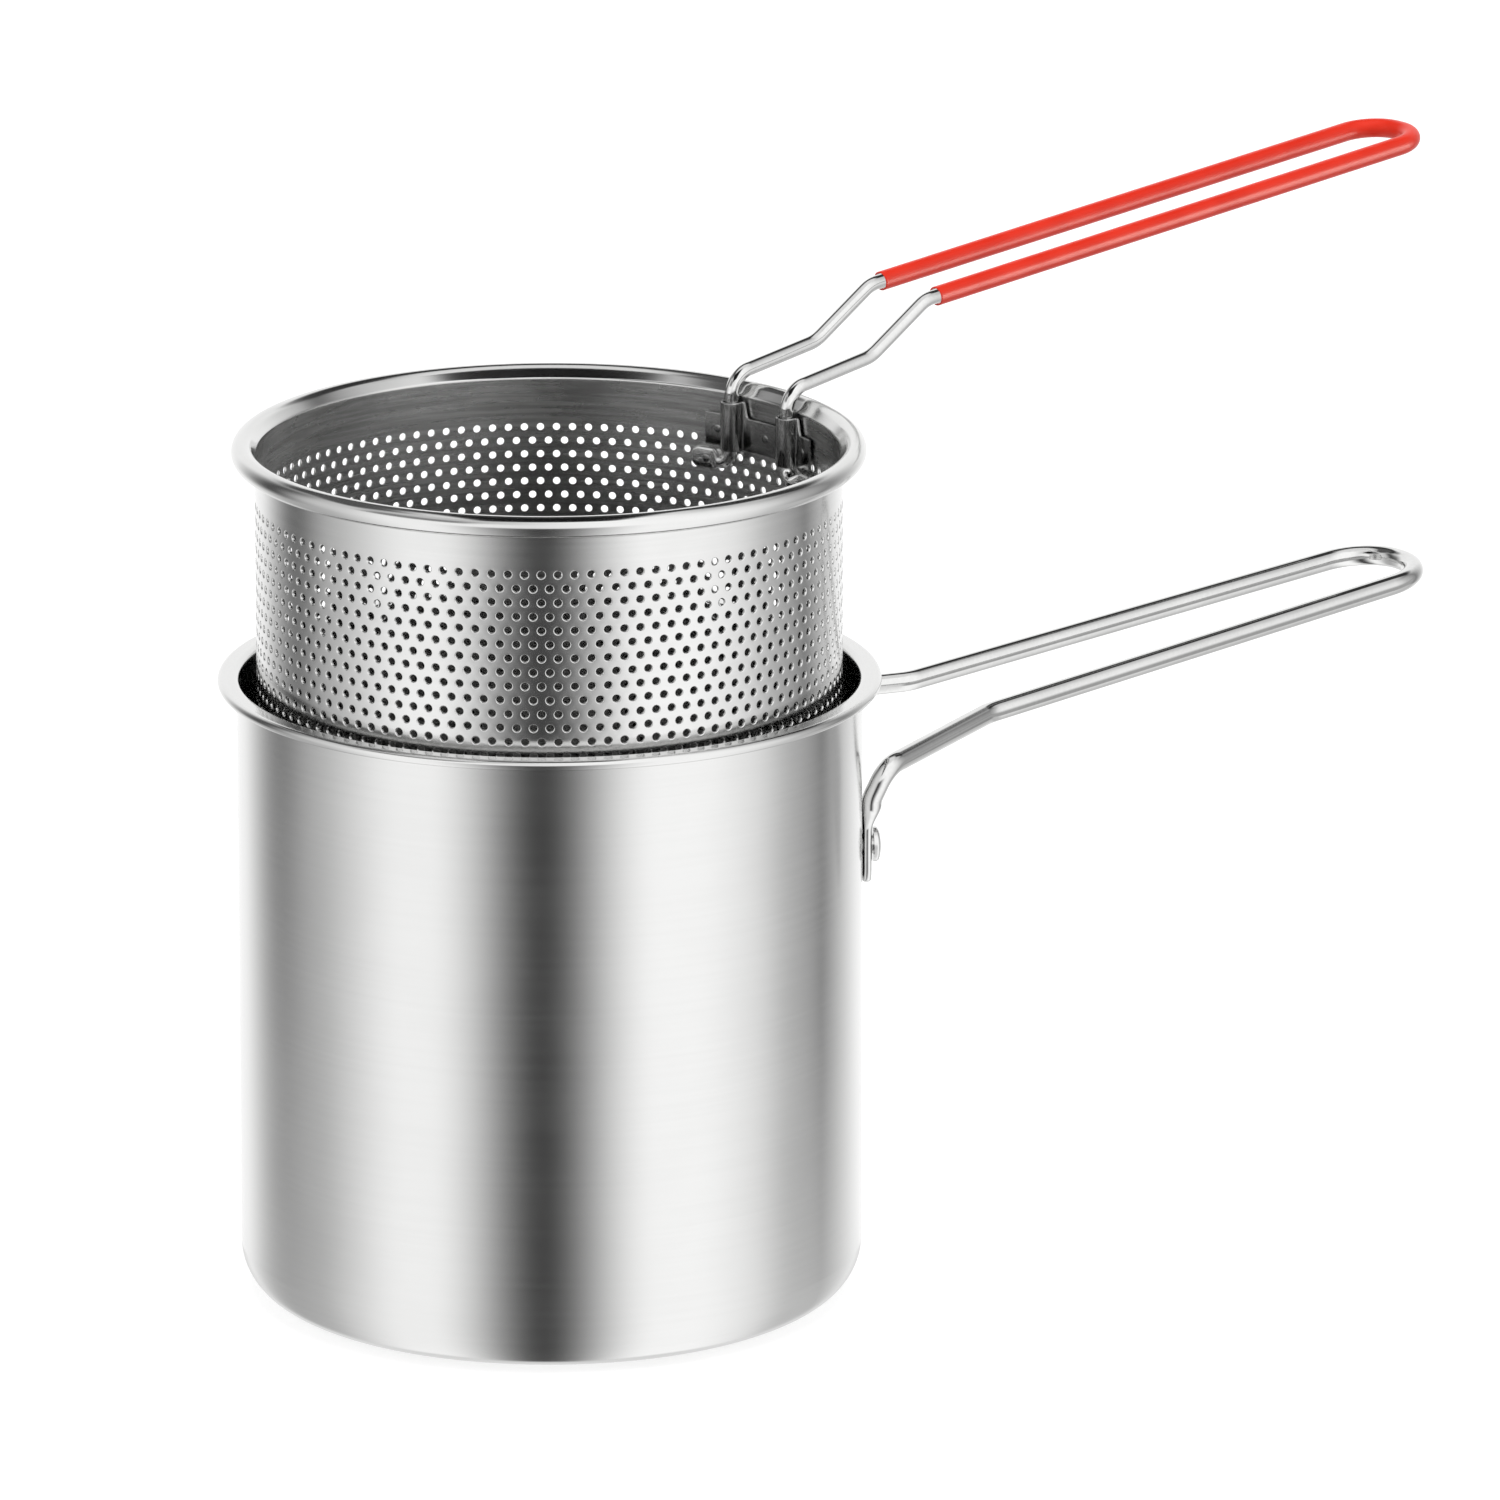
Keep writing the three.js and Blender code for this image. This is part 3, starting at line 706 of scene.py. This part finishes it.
def on_map(steps, row, up=0.0):
    """Places on the wall's flat map: some half pitches round it, and some way above a row."""
    height = up - FIRST_ROW_DEPTH - row * PITCH * sqrt(3) / 2
    return np.stack(np.broadcast_arrays(steps * PITCH / 2, height), -1)


def wall_rows(skin, first, last):
    """The perforated rows from first up to last. Returns the ids of the lines above and below them."""
    place, every = WallPlace(), np.arange(2 * HOLES_ROUND)
    lines = []
    for j in range(first, last + 1):
        peak = np.where(every % 2 == j % 2, PITCH / sqrt(3), PITCH / sqrt(12))
        flat = on_map(every, j, peak)
        out = place.sides(flat)[0]
        lines.append((skin.add(place.point(flat, 0), out), skin.add(place.point(flat, BASKET_WALL), -out)))
    for j, above, below in zip(range(first, last), lines, lines[1:]):
        steps = every[j % 2::2]
        around = (steps[:, None] + [0, 1, 1, 0, -1, -1]) % every.size
        corners = [np.where([1, 1, 0, 0, 0, 1], low[around], high[around]) for high, low in zip(above, below)]
        perforate(skin, place, on_map(steps, j), *corners)
    return lines[0], lines[-1]


def band(skin, outline):
    """A turned strip whose outline starts on the wall's outer face and ends on its inner face."""
    angles = np.arange(2 * HOLES_ROUND) * pi / HOLES_ROUND
    rings = [
        skin.add(round_z(radius, angles, height), round_z(out, angles, up))
        for (radius, height), (out, up) in zip(outline, to_right(tangents_of(outline)))
    ]
    for low, high in zip(rings, rings[1:]):
        skin.bridge(low, high)
    return rings[0], rings[-1]


def close_cut(skin, outer, inner, up):
    """Joins the outer and the inner face where the wall is parted, with the normal up or down."""
    normal = skin.turn(np.broadcast_to(UP * up, outer.shape + (3,)))
    skin.bridge(*(outer, inner)[::up], normals=(normal, normal))


def upper_wall():
    """The rolled rim, the plain band under it and the upper rows of holes."""
    skin = Skin()
    above, below = wall_rows(skin, 0, ROWS_IN_UPPER)
    roll = arc(ROLL_CENTRE, 0, ROLL_RADIUS - BASKET_WALL / 2, pi - NECK_TILT, ROLL_END)
    neck_height = roll[0][1] - (roll[0][0] - WALL_MIDDLE) / tan(NECK_TILT)
    start = (WALL_MIDDLE, BAND_OVER_ROW - FIRST_ROW_DEPTH)
    neck = stations_through([(start, 0), ((WALL_MIDDLE, neck_height), NECK_BEND), (roll[0], 0)])
    first, last = band(skin, sheet_outline([*neck[:-1], *roll], BASKET_WALL))
    skin.bridge(above[0], first)
    skin.bridge(last, above[1])
    close_cut(skin, *below, -1)
    return skin.mesh("basket_wall_upper")


def lower_wall():
    """The lower rows of holes, down to the plain edge that holds the base."""
    skin = Skin()
    above, below = wall_rows(skin, ROWS_IN_UPPER, HOLE_ROWS)
    line = [(WALL_MIDDLE, BAND_AT_BASE - BASKET_DEPTH), (WALL_MIDDLE, -BASKET_DEPTH)]
    last, first = band(skin, sheet_outline(line, BASKET_WALL))
    skin.bridge(first, below[0])
    skin.bridge(below[1], last)
    close_cut(skin, *above, 1)
    return skin.mesh("basket_wall_lower")


def basket_base():
    """A perforated disc with a round corner and an upturned lip, inside the wall's lower end."""
    place = BasePlace()
    reach = int(BASE_HOLES_REACH / PITCH) + 2
    counts = range(-reach, reach + 1)
    grid = [(PITCH * (i + (j % 2) / 2), PITCH * j * sqrt(3) / 2) for j in counts for i in counts]
    centres = np.array([c for c in grid if hypot(*c) <= BASE_HOLES_REACH])
    corners = centres[:, None] + spokes(6) * PITCH / sqrt(3)
    keys = {}
    ids = np.array([[keys.setdefault((round(x, 2), round(y, 2)), len(keys)) for x, y in cell] for cell in corners])
    flat = np.zeros((len(keys), 2))
    flat[ids.reshape(-1)] = corners.reshape(-1, 2)

    skin = Skin()
    out = place.sides(flat)[0]
    outer = skin.add(place.point(flat, 0), out)
    inner = skin.add(place.point(flat, BASKET_WALL), -out)
    perforate(skin, place, centres, outer[ids], inner[ids])

    half = BASKET_WALL / 2
    middle, corner = INNER_FACET - BASE_FIT - half, BASE_CORNER - half
    bottom, disc = half - BASKET_DEPTH, middle - corner - BASE_BAND
    turn = arc(middle - corner, bottom + corner, corner, -pi / 2, 0)
    line = [(disc, bottom), *turn, (middle, BASE_LIP - BASKET_DEPTH)]
    first, last = band(skin, sheet_outline(line, BASKET_WALL))

    # The plain sheet between the holes and the band is triangulated on the flat map, without the cells in it
    sides = 2 * HOLES_ROUND
    edge = [disc * towards(-i * tau / sides)[:2] for i in range(sides)]
    pairs = Counter(tuple(sorted(pair)) for cell in ids.tolist() for pair in zip(cell, cell[1:] + cell[:1]))
    border = [pair for pair, count in pairs.items() if count == 1]
    border_ids = sorted({i for pair in border for i in pair})
    back = {i: sides + n for n, i in enumerate(border_ids)}
    places = np.array([*edge, *flat[border_ids]])
    edges = [(i, (i + 1) % sides) for i in range(sides)] + [(back[a], back[b]) for a, b in border]
    kept = []
    for triangle in delaunay_2d_cdt([Vector(p) for p in places], edges, [], 0, TINY)[2]:
        offsets = centres - places[list(triangle)].mean(0)
        apart = np.abs(offsets[norm(offsets, axis=1).argmin()])
        if apart[0] > PITCH / 2 + TINY or apart[1] + apart[0] / sqrt(3) > PITCH / sqrt(3) + TINY:
            kept.append(triangle)
    for ring, face, order in ((first, outer, 1), (last, inner, -1)):
        skin.fill(*np.concatenate([ring, face[border_ids]])[np.array(kept).T[::order]])
    return skin.mesh("basket_base_sheet")


def rim_wire():
    """The ring inside the roll."""
    radius = ROLL_RADIUS - BASKET_WALL - RIM_WIRE_FIT
    outline = arc(ROLL_CENTRE, 0, radius, 0, tau, radians(20))[:-1]
    return lathe("rim_ring_wire", outline, POT_SIDES // 2, closed=True)


def basket_handle_corners(side):
    """One side of the basket's handle, from its foot to where the grip starts."""
    over_rim = ROLL_RADIUS + OVER_RIM_GAP + BASKET_WIRE / 2
    step = ROLL_CENTRE + STEP_STAND_OFF
    return [
        (round_z(LEG_REACH, side * (LEG_ANGLE + FOOT_LENGTH / LEG_REACH), -FOOT_DEPTH), 0),
        (round_z(LEG_REACH, side * LEG_ANGLE, -FOOT_DEPTH), FOOT_BEND),
        ((LEG_X, side * LEG_HALF_SPACING, over_rim), OVER_RIM_BEND),
        ((step, side * LEG_HALF_SPACING, STEP_HEIGHT), STEP_BEND),
        ((step + STEP_LENGTH, side * LEG_HALF_SPACING, GRIP_START_HEIGHT), GRIP_START_BEND),
    ]


def on_grip(side, run):
    """A place on one side of the basket's grip, some way along it."""
    half_width = LEG_HALF_SPACING + (GRIP_HALF_WIDTH - LEG_HALF_SPACING) * run / GRIP_LENGTH
    reach = ROLL_CENTRE + STEP_STAND_OFF + STEP_LENGTH + run
    return np.array([reach, side * half_width, GRIP_START_HEIGHT + run * tan(GRIP_RISE)])


GRIP_ENDS = [(on_grip(side, GRIP_LENGTH), GRIP_BEND) for side in (-1, 1)]


def basket_handle():
    """One wire, with its feet pressed flat against the inside of the wall."""
    halves = [basket_handle_corners(side) for side in (-1, 1)]
    foot = (FOOT_HEIGHT, FOOT_THICKNESS, FOOT_PRESS)
    outs = [side * unit(np.cross(half[1][0] - half[0][0], UP)) for side, half in zip((-1, 1), halves)]
    corners = halves[0] + GRIP_ENDS + halves[1][::-1]
    return footed_wire("basket_handle_loop", corners, BASKET_WIRE, UP, foot, outs)


def grip_sleeve():
    """A soft tube over the long loop, with round lips at both of its ends."""
    starts = [(on_grip(side, SLEEVE_SET_BACK), 0) for side in (-1, 1)]
    stations = supported(stations_through([starts[0], *GRIP_ENDS, starts[1]]))
    bore, lip = BASKET_WIRE / 2 + SLEEVE_FIT, SLEEVE_WALL / 2
    first, last = unit(stations[1] - stations[0]), unit(stations[-1] - stations[-2])
    centres = [stations[0] + first * lip, *stations[1:-1], stations[-1] - last * lip]
    outer, inner = (rings_along(centres, radius, UP) for radius in (bore + SLEEVE_WALL, bore))
    turns = np.linspace(0, pi, 7)[1:-1]

    def lips(i, forward, angles):
        middle, radial = (outer[i] + inner[i]) / 2, (outer[i] - inner[i]) / 2
        return [middle + radial * cos(a) + forward * lip * sin(a) for a in angles]

    rings = [*outer, *lips(-1, last, turns), *inner[::-1], *lips(0, -first, turns[::-1])]
    return tube_mesh("grip_sleeve_tube", np.array(rings), closed=True)


def bracket_plan():
    """The bracket's middle line seen from above, and for each point how near a channel it lies, from 0 to 1."""
    flat = INNER_FACET - TOUCH_GAP - BRACKET_SHEET / 2
    channel = BASKET_WIRE / 2 + TOUCH_GAP + BRACKET_SHEET / 2
    fillet_reach, fillet_leg = flat - BRACKET_FILLET, channel + BRACKET_FILLET
    spread = acos((LEG_REACH**2 + fillet_reach**2 - fillet_leg**2) / (2 * LEG_REACH * fillet_reach))
    end = LEG_ANGLE + asin(channel / flat) + FLANGE_LENGTH / flat

    def beside(angle, other):
        return other + (angle - other + pi) % tau - pi

    def over_leg(angle):
        leg = towards(angle)[:2] * LEG_REACH
        fillets, limits = [], []
        for sign in (-1, 1):
            around = angle + sign * spread
            fillet = towards(around)[:2] * fillet_reach
            to_leg = atan2(leg[1] - fillet[1], leg[0] - fillet[0])
            fillets.append(arc(*fillet, BRACKET_FILLET, around, beside(to_leg, around))[::-sign])
            limits.append(beside(to_leg + pi, angle + pi))
        return [*fillets[0], *arc(*leg, channel, *limits)[1:-1], *fillets[1]]

    def run(start, stop, steps):
        return round_z(flat, np.linspace(start, stop, steps), 0)[:, :2]

    line = np.array([
        *run(-end, -LEG_ANGLE - spread, 12)[:-1],
        *over_leg(-LEG_ANGLE),
        *run(-LEG_ANGLE + spread, LEG_ANGLE - spread, 24)[1:-1],
        *over_leg(LEG_ANGLE),
        *run(LEG_ANGLE + spread, end, 12)[1:],
    ])
    legs = [LEG_REACH * towards(angle)[:2] for angle in (-LEG_ANGLE, LEG_ANGLE)]
    away = np.minimum(*(norm(line - leg, axis=1) for leg in legs))
    return line, eased((fillet_leg + BRACKET_STEP - away) / BRACKET_STEP)


def bracket():
    """A strip bent over both legs, whose channels stand higher than its web and its flanges."""
    line, near = bracket_plan()
    half = BRACKET_SHEET / 2
    rings = []
    for point, side, share in zip(line, to_right(tangents_of(line)), near):
        top = -FLANGE_TOP + (FLANGE_TOP - BRACKET_TOP) * share - half
        bottom = -BRACKET_BOTTOM + half
        ring = arc(0, top, half, 0, pi, EDGE_STEP) + arc(0, bottom, half, pi, tau, EDGE_STEP)
        rings.append([(*(point + side * reach), height) for reach, height in ring[::-1]])
    return tube_mesh("handle_bracket_strip", np.array(rings))


def weld_marks():
    """The small round marks of spot welds, on the bracket's flanges and web and on both feet."""
    flat = INNER_FACET - TOUCH_GAP - BRACKET_SHEET
    foot = (LEG_REACH + BASKET_WIRE / 2 - FOOT_THICKNESS) * cos(FOOT_LENGTH / LEG_REACH / 2)
    flange_angle = LEG_ANGLE + WELD_ON_FLANGE / flat
    foot_angle = LEG_ANGLE + WELD_ON_FOOT / LEG_REACH
    marks = [(flat, angle, -FLANGE_TOP - WELD_DROP) for angle in (-flange_angle, flange_angle, 0)]
    marks += [(foot, angle, -FOOT_DEPTH) for angle in (-foot_angle, foot_angle)]
    places = [
        (towards(angle) * reach + UP * height, (towards(angle - pi / 2), UP, -towards(angle)))
        for reach, angle, height in marks
    ]
    crown = [(WELD_RADIUS * cos(a), WELD_HEIGHT * sin(a)) for a in np.linspace(0, pi / 2, 7)[:-1]]
    outline = [(0, -WELD_ROOT), (WELD_RADIUS, -WELD_ROOT), *crown, (0, WELD_HEIGHT)]
    return lathe("spot_weld_marks", outline, WELD_SIDES, places=places)


pot_shell()
pot_handle()
rivets()
for sheet, node in ((upper_wall(), "basket_wall"), (lower_wall(), "basket_wall"), (basket_base(), "basket_base")):
    make(sheet, BASKET_STEEL, "basket", [node], IN_BASKET)
make(rim_wire(), RIM_WIRE_STEEL, "rim_ring", ["basket_rim_wire"], IN_BASKET)
make(basket_handle(), WIRE_STEEL, "basket", ["basket_handle_wire"], IN_BASKET)
sleeve = make(grip_sleeve(), VINYL, "basket", ["grip_sleeve"], IN_BASKET)
sleeve.visible_glossy = False
# The bracket and its weld marks take the darker steel, whose colour is painted shade.
make(bracket(), BRACKET_STEEL_SHADE_PAINTED, "basket", ["handle_bracket"], IN_BASKET, sharp=True)
make(weld_marks(), BRACKET_STEEL_SHADE_PAINTED, "basket", (), IN_BASKET)


# ---- camera, floor and light

CAMERA_PLACE = Vector((-1.5354, -2.4347, 0.9134))
CAMERA_AIM = Vector((0.5245, 0.8076, -0.2697))
CAMERA_LENS, FAR_LIMIT = 373.52, 40
FLOOR_DROP, FLOOR_RADII, FLOOR_GLOW = 0.2, (0, 400, 1500, 6000), 0.64
WORLD_LIGHT = 0.55
CAMERA_SIDE = atan2(CAMERA_PLACE.y, CAMERA_PLACE.x)


def camera():
    data = bpy.data.cameras.new("camera")
    data.lens, data.sensor_width, data.clip_end = CAMERA_LENS, 36, FAR_LIMIT
    seen = put("camera", data)
    seen.location = CAMERA_PLACE
    seen.rotation_euler = CAMERA_AIM.to_track_quat("-Z", "Y").to_euler()
    bpy.context.scene.camera = seen


def floor():
    """A wide white floor that keeps a soft shadow and that the metal doesn't mirror."""
    mesh = lathe("studio_floor", [(radius, -FLOOR_DROP) for radius in FLOOR_RADII], FLOOR_SIDES)
    material, tree, shader = new_material("white_floor")
    speck = between(tree, noise(tree, here(tree), 30.0), 0.3, 0.7, 0.6, 0.62)
    grey = add(tree, "CombineColor", {0: speck, 1: speck, 2: speck}).outputs[0]
    feed(tree, shader, {"Base Color": grey, "Roughness": 0.9, "Specular IOR Level": 0.1})
    both = add(tree, "AddShader", {0: shader.outputs[0], 1: glow(tree, FLOOR_GLOW)})
    seen = add(tree, "LightPath").outputs["Is Camera Ray"]
    mix = add(tree, "MixShader", {0: seen, 1: shader.outputs[0], 2: both.outputs[0]})
    feed(tree, tree.nodes["Material Output"], {"Surface": mix.outputs[0]})
    mesh.materials.append(material)
    disc = put("studio_floor", mesh)
    disc.visible_glossy = False


# What the metal mirrors. Each patch is its side of the object, counted from the camera's side, half its width and
# how softly that ends, its lowest and highest place and how softly those end, all in degrees, and how bright it is.
# Later patches cover earlier ones.
DOME_RADIUS, DOME_LEVEL = 1, 0.7
DOME_PATCHES = (
    # light over the far left
    (-136, 41, 44, -3, 100, 36, 1.5),
    # the bright far side with a dark strip over it, and a dim light overhead
    (180, 75, 30, -20, 41, 8, 1.1),
    (178, 58, 12, 41, 66, 8, 0.04),
    (0, 180, 0, 66, 100, 10, 0.95),
    # tall soft boxes on the right and on the left of the camera
    (37, 44, 60, -78, 72, 10, 1.28),
    (-41, 31, 37, -64, 42, 14, 1.22),
    # dark strips over the left box
    (-125, 40, 20, 48, 68, 8, 0.12),
    (-52, 22, 14, 33, 50, 8, 0.3),
    # dark flags between the boxes and outside them
    (-3, 21, 42, -88, 12, 12, 0.07),
    (-115, 19, 37, -19, 54, 46, 0.1),
    (117, 11, 60, -18, 48, 16, 0.03),
)
# Dark cards that only the metal sees, in millimetres: the middle, how each is turned, half its length and its width,
# how softly its edges end, and how bright it is. One hangs over the basket in the camera's plane, and one lies along
# the pot's handle, below it and nearer to the camera.
CARDS = (
    ("card_over_basket", 42 * towards(CAMERA_SIDE) + 295 * UP, (0, 0, CAMERA_SIDE), (68, 54), 16, 0.012),
    ("card_by_handle", (190, -38, 98), (pi / 2, -POT_GRIP_RISE, 0), (110, 14), 14, 0.45),
)
# Under this elevation the dome goes on as the mirror image of what is level with it, so that a round edge under an
# upright wall shows the same light as the wall, apart from a pale low patch far behind the object.
DOME_LEDGE = radians(-17)
DOME_BACK = (180, 24, 14, -60, -10, 10, 0.85)


def window(tree, value, low, high, soft):
    """1 where a value, an angle, lies between two limits in degrees, and 0 outside them, with soft ends."""
    apart = maths(tree, "ABSOLUTE", maths(tree, "SUBTRACT", value, radians((low + high) / 2)))
    inner, outer = radians((high - low - soft) / 2), radians((high - low + soft) / 2)
    return between(tree, apart, inner, outer, 1.0, 0.0)


def covered(tree, level, patch, flat, height, within=None):
    """A level of light with a patch over it, where flat is the level direction from the object."""
    side, half_width, side_soft, low, high, soft, strength = patch
    share = window(tree, height, low, high, soft)
    if half_width < 180:
        middle = tuple(towards(CAMERA_SIDE + radians(side)))
        apart = maths(tree, "ARCCOSINE", vectors(tree, "DOT_PRODUCT", flat, middle))
        share = maths(tree, "MULTIPLY", window(tree, apart, -half_width, half_width, side_soft), share)
    if within:
        share = maths(tree, "MULTIPLY", within, share)
    return maths(tree, "MULTIPLY_ADD", share, maths(tree, "SUBTRACT", strength, level), level)


def dome_light(tree):
    """Soft boxes and dark flags all round."""
    ray = vectors(tree, "NORMALIZE", here(tree))
    true_flat = level_part(tree, ray)
    true_height = maths(tree, "ARCSINE", add(tree, "SeparateXYZ", {0: ray}).outputs["Z"])
    camera_flat = towards(CAMERA_SIDE)
    camera_ray = camera_flat * cos(DOME_LEDGE) - UP * sin(DOME_LEDGE)
    between_rays = level_part(tree, vectors(tree, "ADD", ray, tuple(camera_ray)))
    bent = vectors(tree, "REFLECT", tuple(-camera_flat), between_rays)
    under = maths(tree, "LESS_THAN", true_height, DOME_LEDGE)
    height = maths(tree, "MAXIMUM", true_height, DOME_LEDGE)
    flat = add(tree, "Mix", {0: under, 4: true_flat, 5: bent}, data_type="VECTOR").outputs[1]
    level = DOME_LEVEL
    for patch in DOME_PATCHES:
        level = covered(tree, level, patch, flat, height)
    return glow(tree, covered(tree, level, DOME_BACK, true_flat, true_height, under))


def mirrored(thing, surface):
    """Gives a thing of the studio a surface that only the metal and the gloss see."""
    material, tree, _ = new_material(thing.name)
    tree.nodes.clear()
    add(tree, "OutputMaterial", {"Surface": surface(tree)})
    material.cycles.emission_sampling = "NONE"
    thing.data.materials.append(material)
    thing.visible_camera = thing.visible_diffuse = thing.visible_shadow = False
    thing.visible_transmission = thing.visible_volume_scatter = False


def dome():
    """The studio round the object, which only the metal and the gloss see."""
    bpy.ops.mesh.primitive_uv_sphere_add(segments=128, ring_count=64, radius=DOME_RADIUS)
    shell = bpy.context.object
    shell.name = "studio_dome"
    mirrored(shell, dome_light)


def card(name, middle, turned, half_sizes, soft, level):
    """A soft-edged card that only the metal sees."""
    x, y = ((half + soft / 2) * MM for half in half_sizes)
    mesh = bpy.data.meshes.new(name)
    mesh.from_pydata([(-x, -y, 0), (x, -y, 0), (x, y, 0), (-x, y, 0)], [], [(0, 1, 2, 3)])
    hung = put(name, mesh)
    hung.location, hung.rotation_euler = Vector(middle) * MM, turned

    def faded(tree):
        place = add(tree, "SeparateXYZ", {0: here(tree)}).outputs
        shares = []
        for axis, half in zip("XY", half_sizes):
            reach = maths(tree, "ABSOLUTE", place[axis])
            shares.append(between(tree, reach, (half - soft / 2) * MM, (half + soft / 2) * MM, 1.0, 0.0))
        clear = add(tree, "BsdfTransparent").outputs[0]
        share = maths(tree, "MULTIPLY", *shares)
        return add(tree, "MixShader", {0: share, 1: clear, 2: glow(tree, level)}).outputs[0]

    mirrored(hung, faded)


def world():
    """Plain light from all round, and white wherever the camera, gloss or glass sees past everything."""
    scene = bpy.context.scene
    scene.world = scene.world or bpy.data.worlds.new("world")
    scene.world.use_nodes = True
    tree = scene.world.node_tree
    tree.nodes.clear()
    path = add(tree, "LightPath").outputs
    seen = maths(tree, "MAXIMUM", path["Is Camera Ray"], path["Is Glossy Ray"])
    seen = maths(tree, "MAXIMUM", seen, path["Is Transmission Ray"])
    plain, white = glow(tree, WORLD_LIGHT, "Background"), glow(tree, 1.0, "Background")
    mix = add(tree, "MixShader", {0: seen, 1: plain, 2: white})
    add(tree, "OutputWorld", {"Surface": mix.outputs[0]})


def lamp(name, side, height, distance, size, power, aim=(0, 0, 0), lit=None):
    """A soft lamp at an angle from the camera's side, for all but gloss, or for the gloss of one piece."""
    data = bpy.data.lights.new(name, "AREA")
    data.shape, data.energy = "RECTANGLE", power
    data.size, data.size_y = size
    away = Vector(towards(CAMERA_SIDE + radians(side), radians(height)))
    light = put(name, data)
    light.location = Vector(aim) + away * distance
    light.rotation_euler = away.to_track_quat("Z", "Y").to_euler()
    if lit:
        group = bpy.data.collections.new(name)
        group.objects.link(lit)
        light.light_linking.receiver_collection = light.light_linking.blocker_collection = group
        light.visible_diffuse = False
    else:
        light.visible_glossy = False


camera()
floor()
dome()
for numbers in CARDS:
    card(*numbers)
world()
lamp("overhead", 20, 78, 2.4, (1.8, 1.8), 26)
lamp("left", -60, 35, 2.6, (1.4, 1.4), 10)
lamp("right", 70, 30, 2.6, (1.4, 1.4), 8)
lamp("sleeve_strip", 81, -8, 1.3, (0.8, 0.85), 24, (0.17, 0.02, 0.2), sleeve)
bpy.context.scene.view_settings.view_transform = "Standard"
